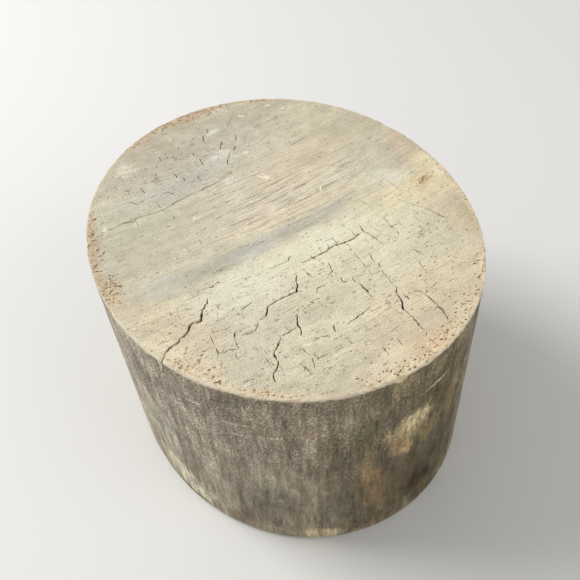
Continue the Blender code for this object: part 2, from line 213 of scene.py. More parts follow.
# Drying checks of the crown that can be told apart, each with its greatest width. The first one
# leaves the crown over the rim and goes on down the wall.
RIM_CHECK = (0.95, [
    (-45.3, -30.3), (-45.8, -31.6), (-45.9, -33.1), (-47.8, -34.5), (-49.6, -35.4), (-49.2, -36.6),
    (-50.9, -39.1), (-51.8, -40.3), (-55.0, -39.9), (-56.6, -40.3), (-57.5, -41.9), (-58.4, -43.4),
    (-59.7, -44.4), (-61.9, -45.3), (-63.8, -47.4), (-66.9, -47.6), (-68.4, -48.8), (-70.6, -50.3),
    (-71.5, -52.0)])
CHECKS = [
    (0.72, [(-38.4, -80.9), (-37.5, -77.2), (-35.0, -74.7), (-33.4, -73.4), (-33.1, -69.1),
            (-31.6, -66.6), (-28.4, -63.1), (-27.8, -61.4)]),
    (0.45, [(-27.6, -62.7), (-25.0, -61.6), (-21.9, -61.4), (-20.0, -61.4)]),
    (0.60, [(-17.2, -55.0), (-18.4, -57.2), (-19.9, -60.0), (-19.9, -63.8), (-20.3, -66.3)]),
    (0.75, [(-8.1, -35.3), (-9.4, -38.8), (-10.0, -41.3), (-12.2, -44.7), (-16.3, -45.0),
            (-23.1, -45.6), (-25.0, -46.6), (-28.1, -50.3), (-31.9, -50.9)]),
    (0.35, [(-31.9, -50.9), (-32.8, -53.1), (-35.0, -55.0), (-39.1, -56.3)]),
    (0.84, [(-3.8, -31.3), (0.0, -30.7), (5.3, -30.0), (10.0, -29.5), (13.0, -28.8), (18.0, -28.9),
            (22.5, -28.3), (26.0, -27.6), (28.5, -27.0)]),
    (0.50, [(14.7, -22.8), (15.0, -27.5), (15.4, -28.8)]),
    (0.35, [(11.3, -25.0), (10.8, -28.6)]),
    (0.40, [(24.1, -24.1), (24.7, -28.0)]),
    (0.50, [(18.1, -28.8), (18.3, -31.9), (18.4, -35.0)]),
    (0.25, [(18.4, -35.0), (18.8, -46.3), (18.6, -52.5)]),
    (0.58, [(28.8, -21.9), (28.4, -26.3), (30.0, -30.0), (31.3, -35.6), (31.9, -36.6),
            (31.4, -38.8)]),
    (0.45, [(23.8, -38.1), (23.8, -40.6), (23.1, -45.6)]),
    (0.35, [(23.9, -46.3), (24.1, -50.0)]),
    (0.40, [(23.4, -50.3), (23.1, -52.5), (23.8, -55.6), (23.3, -59.4)]),
    (0.66, [(24.1, -60.6), (23.8, -62.5), (22.5, -64.4), (22.0, -68.1), (20.3, -71.3),
            (19.9, -73.1), (20.8, -80.0), (21.3, -84.4), (21.8, -86.3)]),
    (0.30, [(20.6, -88.8), (21.6, -93.8), (21.6, -95.0)]),
    (0.60, [(31.6, -69.4), (32.0, -73.1), (32.0, -76.3), (32.5, -80.0), (32.4, -83.8),
            (31.3, -85.3)]),
    (0.35, [(31.6, -69.4), (29.5, -67.0), (28.3, -66.6)]),
    (0.30, [(31.8, -70.2), (33.8, -67.4), (34.6, -66.8)]),
    (0.35, [(11.3, -48.4), (10.9, -51.9)]),
    (0.60, [(11.6, -51.9), (12.2, -54.4), (12.5, -57.5), (12.5, -61.6)]),
    (0.35, [(10.3, -63.1), (10.1, -65.6)]),
    (0.45, [(-2.8, -69.7), (-1.9, -68.8), (3.1, -67.5), (6.3, -67.0), (9.7, -65.9)]),
    (0.35, [(-19.0, -70.2), (-15.0, -70.3), (-11.5, -70.2), (-10.0, -69.4)]),
    (0.50, [(-8.8, -70.4), (-8.0, -67.8), (-6.9, -66.6)]),
    (0.35, [(-6.6, -61.4), (-7.2, -64.0)]),
    (0.30, [(51.9, -16.6), (53.1, -16.1), (54.4, -18.1), (55.6, -21.3), (58.8, -25.3)]),
    (0.55, [(58.8, -25.3), (60.0, -27.5), (61.6, -30.6), (63.1, -35.0), (64.4, -38.8)]),
    (0.45, [(40.0, -22.5), (40.5, -26.3), (40.6, -30.0), (41.4, -33.1)]),
    (0.35, [(41.4, -33.1), (40.5, -34.4), (40.5, -35.9)]),
    (0.25, [(37.5, -7.5), (38.1, -10.6), (38.8, -13.8)]),
    (0.28, [(55.0, -1.3), (56.6, -6.9), (57.5, -13.1)]),
    (0.30, [(50.8, -35.3), (52.8, -40.0), (53.3, -42.2)]),
    (0.25, [(55.0, -43.8), (55.6, -48.1)]),
    (0.40, [(40.9, -45.3), (42.2, -50.0), (43.1, -51.9)]),
    (0.40, [(40.6, -52.8), (38.8, -54.4), (38.6, -58.1), (38.6, -61.6)]),
    (0.45, [(6.9, -35.9), (6.3, -38.8), (5.3, -41.3), (2.8, -43.1)]),
    (0.40, [(4.3, -34.4), (4.4, -36.6)]),
    (0.40, [(6.9, -45.6), (6.3, -49.1), (7.5, -49.4), (9.4, -48.4)]),
    (0.45, [(-5.6, -49.4), (-4.4, -47.5), (0.0, -46.9)]),
    (0.45, [(3.4, -84.4), (3.4, -87.5), (3.6, -90.0)]),
    (0.35, [(-21.3, -76.9), (-22.5, -80.0), (-23.3, -82.2)]),
    (0.30, [(10.0, -83.8), (10.3, -88.1)]),
    (0.45, [(-40.0, -41.9), (-38.1, -40.5), (-36.3, -40.2)]),
    (0.50, [(-35.9, -43.4), (-32.5, -41.8), (-29.7, -40.9)]),
    (0.45, [(-40.6, -51.6), (-42.8, -52.8), (-43.3, -55.6), (-43.6, -58.1), (-43.9, -60.5)]),
    (0.35, [(-56.9, -55.8), (-53.8, -55.0), (-51.3, -55.3)]),
    (0.40, [(-51.3, -55.6), (-51.4, -58.8), (-52.5, -60.6)]),
    (0.35, [(-51.3, -59.5), (-46.9, -59.0), (-43.9, -60.5)]),
    (0.40, [(-17.8, -28.1), (-14.4, -27.5), (-8.1, -27.4), (-5.9, -25.5), (-5.0, -25.8)]),
    (0.35, [(-28.1, -28.3), (-24.4, -27.5)]),
    (0.30, [(-58.8, -30.1), (-55.6, -29.6), (-53.8, -29.8)]),
    (0.40, [(-44.4, -25.1), (-41.3, -25.6), (-38.1, -24.4), (-37.8, -25.9)]),
    (0.35, [(-46.6, -25.6), (-45.9, -24.6)]),
    (0.28, [(-40.0, -18.8), (-35.6, -18.9), (-31.3, -17.5)]),
    (0.28, [(-30.0, -21.6), (-28.4, -20.5)]),
    (0.44, [(-73.4, 28.8), (-69.4, 29.1), (-63.8, 29.9), (-56.3, 30.5), (-51.3, 30.3)]),
    (0.60, [(-51.3, 30.3), (-45.0, 30.3), (-41.9, 30.9), (-36.3, 32.2), (-31.3, 33.8),
            (-25.9, 34.4)]),
    (0.42, [(-25.9, 34.4), (-20.6, 35.5), (-15.0, 36.6), (-8.8, 38.1)]),
    (0.35, [(-25.9, 34.4), (-25.8, 32.6)]),
    (0.30, [(-44.1, 30.0), (-42.8, 27.8)]),
    (0.30, [(-40.9, 25.6), (-41.3, 22.5), (-40.3, 20.9)]),
    (0.55, [(-6.9, 75.9), (-7.6, 73.1), (-8.1, 68.8)]),
    (0.30, [(-2.8, 81.3), (-4.1, 76.9)]),
    (0.60, [(0.0, 66.9), (-2.5, 62.5), (-3.8, 60.0)]),
    (0.40, [(-16.4, 65.0), (-16.8, 60.6)]),
    (0.50, [(-14.7, 59.1), (-15.3, 56.3), (-15.9, 52.2)]),
    (0.30, [(-15.0, 59.1), (-9.4, 59.4)]),
    (0.45, [(0.0, 55.6), (-1.9, 52.5), (-4.1, 50.0), (-5.0, 45.6)]),
    (0.50, [(-30.3, 53.8), (-29.9, 50.9), (-29.9, 49.1)]),
    (0.35, [(-28.1, 48.8), (-26.9, 45.0)]),
    (0.35, [(-20.8, 46.3), (-20.4, 40.6)]),
    (0.50, [(-48.4, 51.9), (-47.5, 48.1), (-47.5, 45.6)]),
    (0.35, [(-57.5, 51.6), (-52.5, 51.8), (-48.8, 51.9)]),
    (0.40, [(-46.3, 52.8), (-41.3, 52.5), (-36.3, 54.1)]),
    (0.35, [(-41.3, 41.9), (-40.0, 41.3), (-37.5, 41.3), (-35.6, 37.5)]),
    (0.35, [(-56.3, 43.8), (-53.1, 40.0), (-48.8, 40.9)]),
    (0.35, [(-38.1, 58.8), (-38.1, 55.3)]),
    (0.40, [(-36.3, 74.7), (-35.9, 72.5)]),
    (0.35, [(-22.8, 70.6), (-20.6, 72.5)]),
    (0.30, [(-62.5, 53.4), (-64.1, 50.0)]),
    (0.50, [(7.8, 68.1), (6.9, 65.6), (5.0, 62.8), (4.1, 62.2)]),
    (0.45, [(4.1, 59.7), (3.1, 56.9), (2.2, 55.3)]),
    (0.25, [(11.6, 64.4), (10.3, 60.6)]),
    (0.25, [(13.4, 85.0), (11.9, 83.4), (6.6, 76.3)]),
    (0.25, [(16.0, 70.0), (28.0, 70.6), (40.0, 72.5)]),
    (0.25, [(15.9, 56.3), (22.8, 59.7)]),
    (0.30, [(26.9, 45.0), (32.5, 46.3), (37.5, 48.1)]),
    (0.25, [(18.8, 33.8), (26.6, 37.5)]),
    (0.25, [(0.0, 4.0), (12.0, 5.2), (25.0, 7.0)]),
    (0.35, [(23.3, -59.4), (23.5, -60.2), (24.1, -60.6)]),
    (0.28, [(21.8, -86.3), (21.0, -87.6), (20.6, -88.8)]),
    (0.26, [(-10.0, -5.4), (2.0, -4.2), (14.0, -3.2), (27.0, -1.4)]),
    (0.26, [(8.0, 19.8), (17.0, 21.4), (26.0, 22.4)]),
    (0.26, [(-4.0, 25.6), (6.0, 24.8), (14.0, 27.2)]),
    (0.26, [(12.0, 14.0), (22.0, 15.2), (31.0, 17.8)]),
    (0.26, [(-18.0, 12.6), (-8.0, 13.0), (0.0, 14.6)]),
]

# Where short hairline checks lie too thickly to place one by one: (x, y, half size in x, half size
# in y, how many). They follow the growth rings or cross them.
HAIRLINE_FIELDS = [
    (0.0, -52.0, 52.0, 30.0, 150),
    (-30.0, 56.0, 34.0, 17.0, 64),
    (32.0, -30.0, 30.0, 16.0, 24),
    (-56.0, -42.0, 16.0, 14.0, 20),
    (-45.0, 15.0, 25.0, 20.0, 16),
]

# Pits that stand out: (x, y, length). They are opened along the growth ring.
PITS = [
    (-4.5, -86.5, 1.0), (13.8, -91.2, 0.9), (39.0, -75.6, 1.3), (46.8, -69.0, 0.9),
    (-2.5, -56.7, 1.5), (-1.2, -56.2, 1.0), (10.0, -75.5, 0.9), (-7.5, -80.6, 0.9),
    (-9.2, -95.8, 1.0), (-11.0, -53.4, 1.0), (-9.4, -52.8, 1.2), (-7.6, -53.4, 1.1),
    (-6.2, -52.3, 1.3), (-8.5, -51.8, 0.9), (67.6, -10.9, 1.6), (69.2, -9.4, 1.9),
    (70.8, -7.9, 1.4), (68.4, -12.0, 0.9), (71.6, -9.9, 0.9), (13.8, 91.9, 1.5), (-22.6, 92.3, 1.7),
    (-23.6, 94.0, 1.6), (-28.0, 90.5, 1.5), (-21.0, 94.6, 1.3), (-3.8, -31.4, 1.2),
    (-10.9, -45.2, 1.0), (29.4, -31.6, 1.1), (9.6, -29.9, 1.1), (-60.2, -45.9, 1.1),
    (3.0, -68.4, 1.1),
]

# Brittle stretches of the rim, crumbled and pitted: (x, y) of the middle of each, its reach along
# the rim, its width inwards, and the number of its pits
BRITTLE_RIMS = [
    (-8.0, 97.0, 24.0, 7.5, 130),
    (-36.0, 88.0, 12.0, 5.0, 20),
    (25.0, 93.0, 20.0, 3.5, 16),
    (-80.5, 20.0, 26.0, 6.0, 64),
    (-82.5, -8.0, 11.0, 8.5, 70),
    (-62.0, -62.0, 14.0, 9.0, 84),
    (-40.0, -84.0, 16.0, 4.5, 26),
    (6.0, -98.0, 24.0, 5.5, 70),
    (38.0, -86.0, 19.0, 6.0, 70),
    (60.0, -67.0, 12.0, 4.0, 14),
    (80.0, -20.0, 26.0, 3.0, 10),
]
SCATTERED_PITS = [(0.0, -58.0, 62.0, 38.0, 420), (0.0, 10.0, 78.0, 84.0, 160)]

# Shallow nicks that bare pale wood: (width, depth, route)
NICKS = [
    (1.6, 0.35, [(3.6, 32.3), (5.2, 30.6), (7.8, 27.2)]),
    (1.1, 0.30, [(6.3, 33.2), (7.2, 30.0), (8.5, 27.0)]),
    (1.3, 0.30, [(26.6, 10.6), (25.6, 8.5), (24.9, 6.6)]),
    (0.8, 0.20, [(-3.6, 77.2), (-1.6, 78.0), (0.4, 77.6)]),
    (0.6, 0.18, [(-2.6, 76.2), (-0.4, 76.4)]),
    (0.5, 0.18, [(-1.0, 75.2), (1.2, 76.2)]), (0.5, 0.15, [(-3.0, 75.0), (-2.0, 76.0)]),
    (0.6, 0.20, [(-10.0, 56.2), (-8.2, 57.4)]), (0.5, 0.18, [(-8.8, 54.8), (-7.0, 55.6)]),
    (0.7, 0.20, [(-5.4, 58.2), (-3.0, 59.0)]), (0.6, 0.20, [(-5.0, 56.0), (-2.6, 57.2)]),
    (0.5, 0.18, [(-6.6, 53.0), (-4.2, 54.2)]), (0.6, 0.18, [(-3.6, 53.8), (-2.0, 54.8)]),
    (0.5, 0.15, [(-7.6, 58.6), (-6.4, 59.4)]), (0.6, 0.18, [(-1.2, 57.4), (0.2, 58.6)]),
    (1.0, 0.25, [(-29.0, 62.0), (-27.8, 63.0)]),
    (1.4, 0.30, [(-72.2, 29.8), (-70.4, 30.2)]),
    (0.9, 0.25, [(-32.4, 30.2), (-31.4, 30.9)]),
    (1.0, 0.25, [(-18.0, 32.0), (-16.2, 32.5)]),
    (1.3, 0.25, [(-34.0, 17.2), (-31.8, 17.8)]),
    (1.2, 0.25, [(-7.4, 15.6), (-5.2, 16.4)]),
    (1.2, 0.25, [(-35.2, 88.0), (-32.4, 89.4)]),
    (1.6, 0.25, [(15.0, 83.6), (18.6, 81.0)]),
    (1.4, 0.25, [(31.8, 85.0), (34.6, 83.8)]),
    (1.3, 0.25, [(38.0, 78.6), (39.8, 76.4)]),
    (1.1, 0.25, [(47.4, 76.6), (48.4, 75.8)]),
    (1.0, 0.25, [(6.6, 50.4), (7.8, 52.4)]),
    (0.9, 0.25, [(1.0, 57.6), (1.6, 58.8)]),
    (1.3, 0.30, [(-22.6, -70.4), (-20.0, -70.9), (-17.4, -70.2)]),
    (1.2, 0.25, [(-77.0, -31.4), (-75.4, -32.6)]),
]

# Splits that run down the wall along its fibre: (arc, upper z, lower z, width)
WALL_SPLITS = [
    (38.0, 115.0, 88.0, 0.45), (71.0, 60.0, 31.0, 0.30), (104.0, 115.0, 96.0, 0.40),
    (151.0, 40.0, 7.0, 0.35), (346.0, 115.0, 83.0, 0.45), (371.0, 52.0, 20.0, 0.30),
    (402.0, 115.0, 92.0, 0.40), (448.0, 33.0, 6.0, 0.40), (489.0, 115.0, 71.0, 0.55),
    (531.0, 72.0, 40.0, 0.30), (560.0, 115.0, 101.0, 0.35),
]
RIM_SPLIT_WIDTH = 0.5
RIM_SPLIT_DEPTH = 20.0
RIM_SPLIT_DROP = 1.2
RIM_SPLIT_INSET = 0.9
SPLIT_WANDER = 0.45
SPLIT_CLEARANCE = 1.1
SPLIT_END = 0.35
SPLIT_DEPTH_SHARE = 0.8
LEAST_SPLIT = 0.12

# How far the rim is worn round, in millimetres, and where a chip is out of it: (arc, width, depth)
ARRIS_WEAR = 0.75
ARRIS_UNEVENNESS = 0.30
LEAST_ARRIS = 0.35
BRITTLE_REACH = 1.35
BRITTLE_WIDTH = 1.3
ARRIS_CHIPS = [
    (292.6, 1.9, 2.2), (271.0, 1.6, 0.6), (305.0, 2.0, 0.8), (214.0, 2.4, 0.6), (190.5, 2.0, 0.7),
    (165.0, 2.2, 0.8), (118.0, 2.4, 0.9), (60.0, 2.6, 1.0), (20.0, 2.2, 0.8), (365.0, 2.6, 1.0),
    (420.0, 2.0, 0.8), (472.0, 2.8, 1.1), (540.0, 2.4, 0.9),
]
SMALL_CHIPS = 240

# The growth rings cross the crown almost straight, rising to the right and bending up
RING_SLOPE = 0.13
RING_BEND = 0.0008


def ring_direction(x):
    """The direction of the growth rings at that x, as a unit vector."""
    slope = RING_SLOPE + 2.0 * RING_BEND * x
    size = math.hypot(1.0, slope)
    return 1.0 / size, slope / size


def worn_arris():
    """The arcs round the rim, and how far it is worn round at each."""
    chance = random.Random(RIM_SEED)
    arcs = np.arange(0.0, OUTLINE.length, ARRIS_STEP)
    wear = np.empty(len(arcs))
    for number, arc in enumerate(arcs):
        x, y, _, _ = OUTLINE.at(arc)
        broad = noise.noise(Vector((x, y, 0.0)) / 14.0)
        wear[number] = broad + 0.5 * noise.noise(Vector((x, y, 7.0)) / 4.0)
    wear = ARRIS_WEAR + ARRIS_UNEVENNESS * wear
    small = []
    for _ in range(SMALL_CHIPS):
        place = chance.uniform(0.0, OUTLINE.length)
        small.append((place, chance.uniform(0.4, 1.1), chance.uniform(0.05, 0.38)))
    for place, width, depth in ARRIS_CHIPS + small:
        away = (arcs - place + OUTLINE.length / 2.0) % OUTLINE.length - OUTLINE.length / 2.0
        wear += depth * np.exp(-(away / width) ** 2)
    return arcs, np.maximum(wear, LEAST_ARRIS)


ARRIS = worn_arris()
BRITTLE = [(OUTLINE.nearest(x, y)[0], reach, width) for x, y, reach, width, _ in BRITTLE_RIMS]


def arris_radius(arc):
    """How far the rim is worn round at that arc."""
    return float(np.interp(arc % OUTLINE.length, ARRIS[0], ARRIS[1]))


def brittleness(arc, inset):
    """How crumbled the wood is at that distance from the rim, from 0 to 1."""
    most = 0.0
    for middle, reach, width in BRITTLE:
        along, inwards = OUTLINE.gap(arc, middle) / reach, inset / width
        away = math.hypot(along / BRITTLE_REACH, inwards / BRITTLE_WIDTH)
        most = max(most, 1.0 - away ** 2)
    return most


def rounding(radius, inset):
    """How far a rounded edge of that radius lies under its flat face, at that inset."""
    if inset >= radius:
        return 0.0
    return radius - math.sqrt(max(0.0, radius ** 2 - (radius - inset) ** 2))


def resampled(route, step):
    """Points about a step apart along a route: its corners, and at least one between its ends."""
    points = []
    least = 2 if len(route) == 2 else 1
    for (x0, y0), (x1, y1) in zip(route, route[1:]):
        parts = max(least, round(math.hypot(x1 - x0, y1 - y0) / step))
        for part in range(parts):
            share = part / parts
            points.append((x0 + share * (x1 - x0), y0 + share * (y1 - y0)))
    return points + [route[-1]]


class Groove:
    """A check, pit or nick cut into a face: stations with the half width and depth at each."""

    STEP = {"check": CHECK_STEP, "pit": PIT_STEP, "nick": CHECK_STEP}
    RAGGED = {"check": (0.25, 1.35), "pit": (0.7, 1.25), "nick": (0.85, 1.1)}
    WANDER = {"check": CHECK_WANDER, "pit": 0.08, "nick": 0.0}

    def __init__(self, kind, width, depth, route, chance, opens_at_end=False):
        self.kind = kind
        points = resampled(route, self.STEP[kind])
        last = len(points) - 1
        wander = min(self.WANDER[kind], 0.7 * width)
        self.stations = []
        drift = 0.0
        for number, (x, y) in enumerate(points):
            share = number / last
            inside = 0 < number < last
            opening = math.sin(math.pi * share) ** 0.4 if inside else 0.0
            if opens_at_end:
                opening = max(opening, 0.5 * share ** 2)
            before, after = points[max(0, number - 1)], points[min(last, number + 1)]
            run = math.hypot(after[0] - before[0], after[1] - before[1])
            side = ((before[1] - after[1]) / run, (after[0] - before[0]) / run)
            drift = 0.6 * drift + chance.uniform(-wander, wander)
            shift = drift if inside else 0.0
            half = 0.5 * width * opening * chance.uniform(*self.RAGGED[kind])
            place = (x + shift * side[0], y + shift * side[1])
            self.stations.append((*place, side, half, depth * opening))

    def clear_of_rim(self):
        """The stations that aren't too near to the rim."""
        return [one for one in self.stations if OUTLINE.nearest(*one[:2])[1] > RIM_CLEARANCE]


def check_groove(width, route, chance, opens_at_end=False):
    """A check as deep as its width asks."""
    return Groove("check", width, CHECK_DEPTH_PER_WIDTH * width, route, chance, opens_at_end)


class GrooveField:
    """All the grooves of a face, to ask how deep the face is cut at a point, and by what."""

    def __init__(self, grooves):
        self.parts = []
        for groove in grooves:
            for one, two in zip(groove.stations, groove.stations[1:]):
                self.parts.append((one, two, groove.kind))
        self.tree = KDTree(len(self.parts))
        for number, (one, two, _) in enumerate(self.parts):
            self.tree.insert(((one[0] + two[0]) / 2.0, (one[1] + two[1]) / 2.0, 0.0), number)
        self.tree.balance()

    def at(self, x, y):
        """The depth there, the shares of check, pit, nick and nearness, and if any is close."""
        depth, shares, close = 0.0, {"check": 0.0, "pit": 0.0, "nick": 0.0, "near": 0.0}, False
        for _, number, _ in self.tree.find_range((x, y, 0.0), GROOVE_SEARCH):
            (x0, y0, _, half0, depth0), (x1, y1, _, half1, depth1), kind = self.parts[number]
            run_x, run_y = x1 - x0, y1 - y0
            share = ((x - x0) * run_x + (y - y0) * run_y) / (run_x * run_x + run_y * run_y + 1e-9)
            share = min(1.0, max(0.0, share))
            away = math.hypot(x - x0 - share * run_x, y - y0 - share * run_y)
            half = half0 + share * (half1 - half0)
            close = close or away < half + GROOVE_MARGIN
            if kind == "check" and half > LEAST_DUST_AND_HIGHLIGHT_HALF:
                shares["near"] = max(shares["near"], 1.0 - (away - half) / CHECK_SURROUND)
            if away < half and half > 0.01:
                sunk = 1.0 - away / half
                depth = max(depth, sunk * (depth0 + share * (depth1 - depth0)))
                shares[kind] = max(shares[kind], sunk)
        return depth, shares, close


class Spots:
    """Points kept in cells of a millimetre, to ask whether one is nearer than a smaller gap."""

    def __init__(self):
        self.cells = {}

    def add(self, x, y):
        self.cells.setdefault((round(x), round(y)), []).append((x, y))

    def crowded(self, x, y, gap):
        for across in (-1, 0, 1):
            for along in (-1, 0, 1):
                for other in self.cells.get((round(x) + across, round(y) + along), ()):
                    if math.dist(other, (x, y)) < gap:
                        return True
        return False


class Shell:
    """The wood's closed mesh while it grows: points with what each knows of itself, then faces."""

    FACTS = ("check", "pit", "nick", "near", "rim", "wall", "brittle")

    def __init__(self):
        self.points = []
        self.outward = []
        self.facts = {name: [] for name in self.FACTS}
        self.arcs = []
        self.faces = []
        self.on_wall = []

    def point(self, place, outward, arc=0.0, **facts):
        self.points.append(place)
        self.outward.append(outward)
        self.arcs.append(arc)
        for name in self.FACTS:
            self.facts[name].append(facts.get(name, 0.0))
        return len(self.points) - 1

    def face(self, corners, on_wall=False):
        self.faces.append(tuple(corners))
        self.on_wall.append(on_wall)

    def skin(self, lower, upper, on_wall=False):
        """A band of quads between two closed rings of points."""
        count = len(lower)
        for number in range(count):
            ahead = (number + 1) % count
            self.face((lower[number], lower[ahead], upper[ahead], upper[number]), on_wall)

    def mesh(self, name):
        mesh = bpy.data.meshes.new(name)
        mesh.from_pydata([Vector(point) * MM for point in self.points], [], self.faces)
        mesh.update()
        for fact, values in self.facts.items():
            mesh.attributes.new(fact, "FLOAT", "POINT").data.foreach_set("value", values)
        outward = mesh.attributes.new("outward", "FLOAT_VECTOR", "POINT")
        outward.data.foreach_set("vector", [value for vector in self.outward for value in vector])
        side = mesh.attributes.new("side", "FLOAT", "FACE")
        side.data.foreach_set("value", [float(flag) for flag in self.on_wall])
        unrolled = mesh.uv_layers.new(name="unrolled")
        places = []
        for face, flag in zip(self.faces, self.on_wall):
            arcs = [self.arcs[corner] for corner in face]
            wraps = flag and max(arcs) - min(arcs) > OUTLINE.length / 2.0
            for corner, arc in zip(face, arcs):
                turned = arc + OUTLINE.length if wraps and arc < OUTLINE.length / 2.0 else arc
                places += [turned * MM, self.points[corner][2] * MM]
        unrolled.data.foreach_set("uv", places)
        return mesh


def wall_columns():
    """The columns of the wall's grid: (arc, split it belongs to, which side of the split)."""
    rim_arc, _ = OUTLINE.nearest(*RIM_CHECK[1][-1])
    splits = [(rim_arc, HEIGHT, HEIGHT - RIM_SPLIT_DEPTH, RIM_SPLIT_WIDTH)] + WALL_SPLITS
    columns = []
    count = round(OUTLINE.length / COLUMN_STEP)
    for number in range(count):
        arc = OUTLINE.length * number / count
        if all(abs(arc - split[0]) > SPLIT_CLEARANCE for split in splits):
            columns.append((arc, None, 0.0))
    for split in splits:
        columns += [(split[0], split, side) for side in (-1.0, 0.0, 1.0)]
    return sorted(columns, key=lambda column: column[0])


def column_place(column, z):
    """Where a column of the wall stands at that height: its arc, its depth, and how open it is."""
    arc, split, side = column
    if split is None:
        return arc, 0.0, 0.0
    middle, upper, lower, width = split
    wander = SPLIT_WANDER * noise.noise(Vector((middle, z / 7.0, 0.0)))
    share = (z - lower) / (upper - lower)
    opening = min(1.0, max(0.0, share) / SPLIT_END)
    if upper >= HEIGHT:
        opening *= min(1.0, max(0.0, share) + 0.25)
    else:
        opening *= min(1.0, max(0.0, 1.0 - share) / SPLIT_END)
    if side == 0.0:
        depth = CHECK_DEPTH_PER_WIDTH * SPLIT_DEPTH_SHARE * width * opening
        return middle + wander, depth, opening
    return middle + wander + 0.5 * side * max(LEAST_SPLIT, width * opening), 0.0, 0.0


def circle(radius, steps, centre=(0.0, 0.0)):
    """Points round a circle."""
    turns = [2.0 * math.pi * step / steps for step in range(steps)]
    return [(centre[0] + radius * math.cos(turn), centre[1] + radius * math.sin(turn))
            for turn in turns]


class Plan:
    """A flat face of the shell before it is triangulated: its points and the lines it must keep."""

    def __init__(self, shell, outer):
        self.shell = shell
        self.points, self.edges, self.known, self.spots = [], [], {}, Spots()
        self.outer = self.ring(outer)

    def point(self, x, y):
        self.points.append((x, y))
        self.spots.add(x, y)
        return len(self.points) - 1

    def ring(self, indices):
        """A closed ring of the shell's own points."""
        numbers = [self.point(*self.shell.points[index][:2]) for index in indices]
        self.known.update(zip(numbers, indices))
        self.edges += list(zip(numbers, numbers[1:] + numbers[:1]))
        return numbers

    def groove(self, groove, field, ends=None):
        """The bed and both lips of a groove. With given ends, it leaves the face over its rim."""
        stations = groove.stations
        if ends is not None:
            stations = groove.clear_of_rim() + [stations[-1]]
        lines = {0.0: [], -1.0: [], 1.0: []}
        for number, (x, y, across, half, _) in enumerate(stations):
            at_end = ends is not None and number == len(stations) - 1
            for side, line in lines.items():
                if at_end:
                    line.append(ends[side])
                elif side and half == 0.0:
                    line.append(lines[0.0][number])
                else:
                    lip = side * half
                    line.append(self.point(x + lip * across[0], y + lip * across[1]))
            for side in (-1.0, 1.0):
                reach = side * (half + LIP_GUARD)
                guard = (x + reach * across[0], y + reach * across[1])
                free = half > 0.0 and not at_end and field.at(*guard)[0] == 0.0
                if free and not self.spots.crowded(*guard, GUARD_GAP):
                    self.point(*guard)
        for line in lines.values():
            self.edges += list(zip(line, line[1:]))

    def scatter(self, step, chance, allowed):
        """Fills the face with a shaken triangular grid of points, where they are allowed."""
        gap = min(GRID_GAP, GRID_GAP_SHARE * step)
        for row in range(int(2.0 * HALF_LENGTH / (step * GRID_ROW)) + 1):
            for column in range(int(2.0 * HALF_WIDTH / step) + 1):
                across = column + 0.5 * (row % 2) + chance.uniform(-GRID_SHAKE, GRID_SHAKE)
                along = GRID_ROW * row + chance.uniform(-GRID_SHAKE, GRID_SHAKE)
                x, y = -HALF_WIDTH + across * step, -HALF_LENGTH + along * step
                inside = OUTLINE.holds(x, y, 0.5) and allowed(x, y)
                if inside and not self.spots.crowded(x, y, gap):
                    self.point(x, y)

    def lay(self, place, upwards=True, voids=()):
        """Triangulates the plan in its outer ring. Place gives the shell's point for a new spot."""
        spots = [Vector(point) for point in self.points]
        found, _, faces, origins, _, _ = delaunay_2d_cdt(
            spots, self.edges, [self.outer], 1, SAME_SPOT)
        index_of = {}
        for face in faces:
            centre = sum((found[corner] for corner in face), Vector((0.0, 0.0))) / len(face)
            if any(math.dist(centre, middle) < radius for middle, radius in voids):
                continue
            for corner in face:
                if corner not in index_of:
                    known = [self.known[one] for one in origins[corner] if one in self.known]
                    index_of[corner] = known[0] if known else place(*found[corner])
            self.shell.face([index_of[corner] for corner in (face if upwards else reversed(face))])


def hairlines(chance):
    """Short hairline checks, along the growth rings or across them."""
    found = []
    for x, y, half_x, half_y, count in HAIRLINE_FIELDS:
        for _ in range(count):
            middle_x = x + half_x * chance.uniform(-1.0, 1.0)
            middle_y = y + half_y * chance.uniform(-1.0, 1.0)
            run_x, run_y = ring_direction(middle_x)
            if chance.random() < 0.4:
                run_x, run_y = run_y, -run_x
            half = 0.5 * chance.uniform(*HAIRLINE_LENGTHS)
            route = []
            for share in (-1.0, -0.5, 0.0, 0.5, 1.0):
                bend = chance.uniform(-0.25, 0.25)
                route.append((
                    middle_x + share * half * run_x - bend * run_y,
                    middle_y + share * half * run_y + bend * run_x))
            if all(OUTLINE.holds(*spot, 2.0) for spot in route):
                found.append((chance.uniform(*HAIRLINE_WIDTHS), route))
    return found


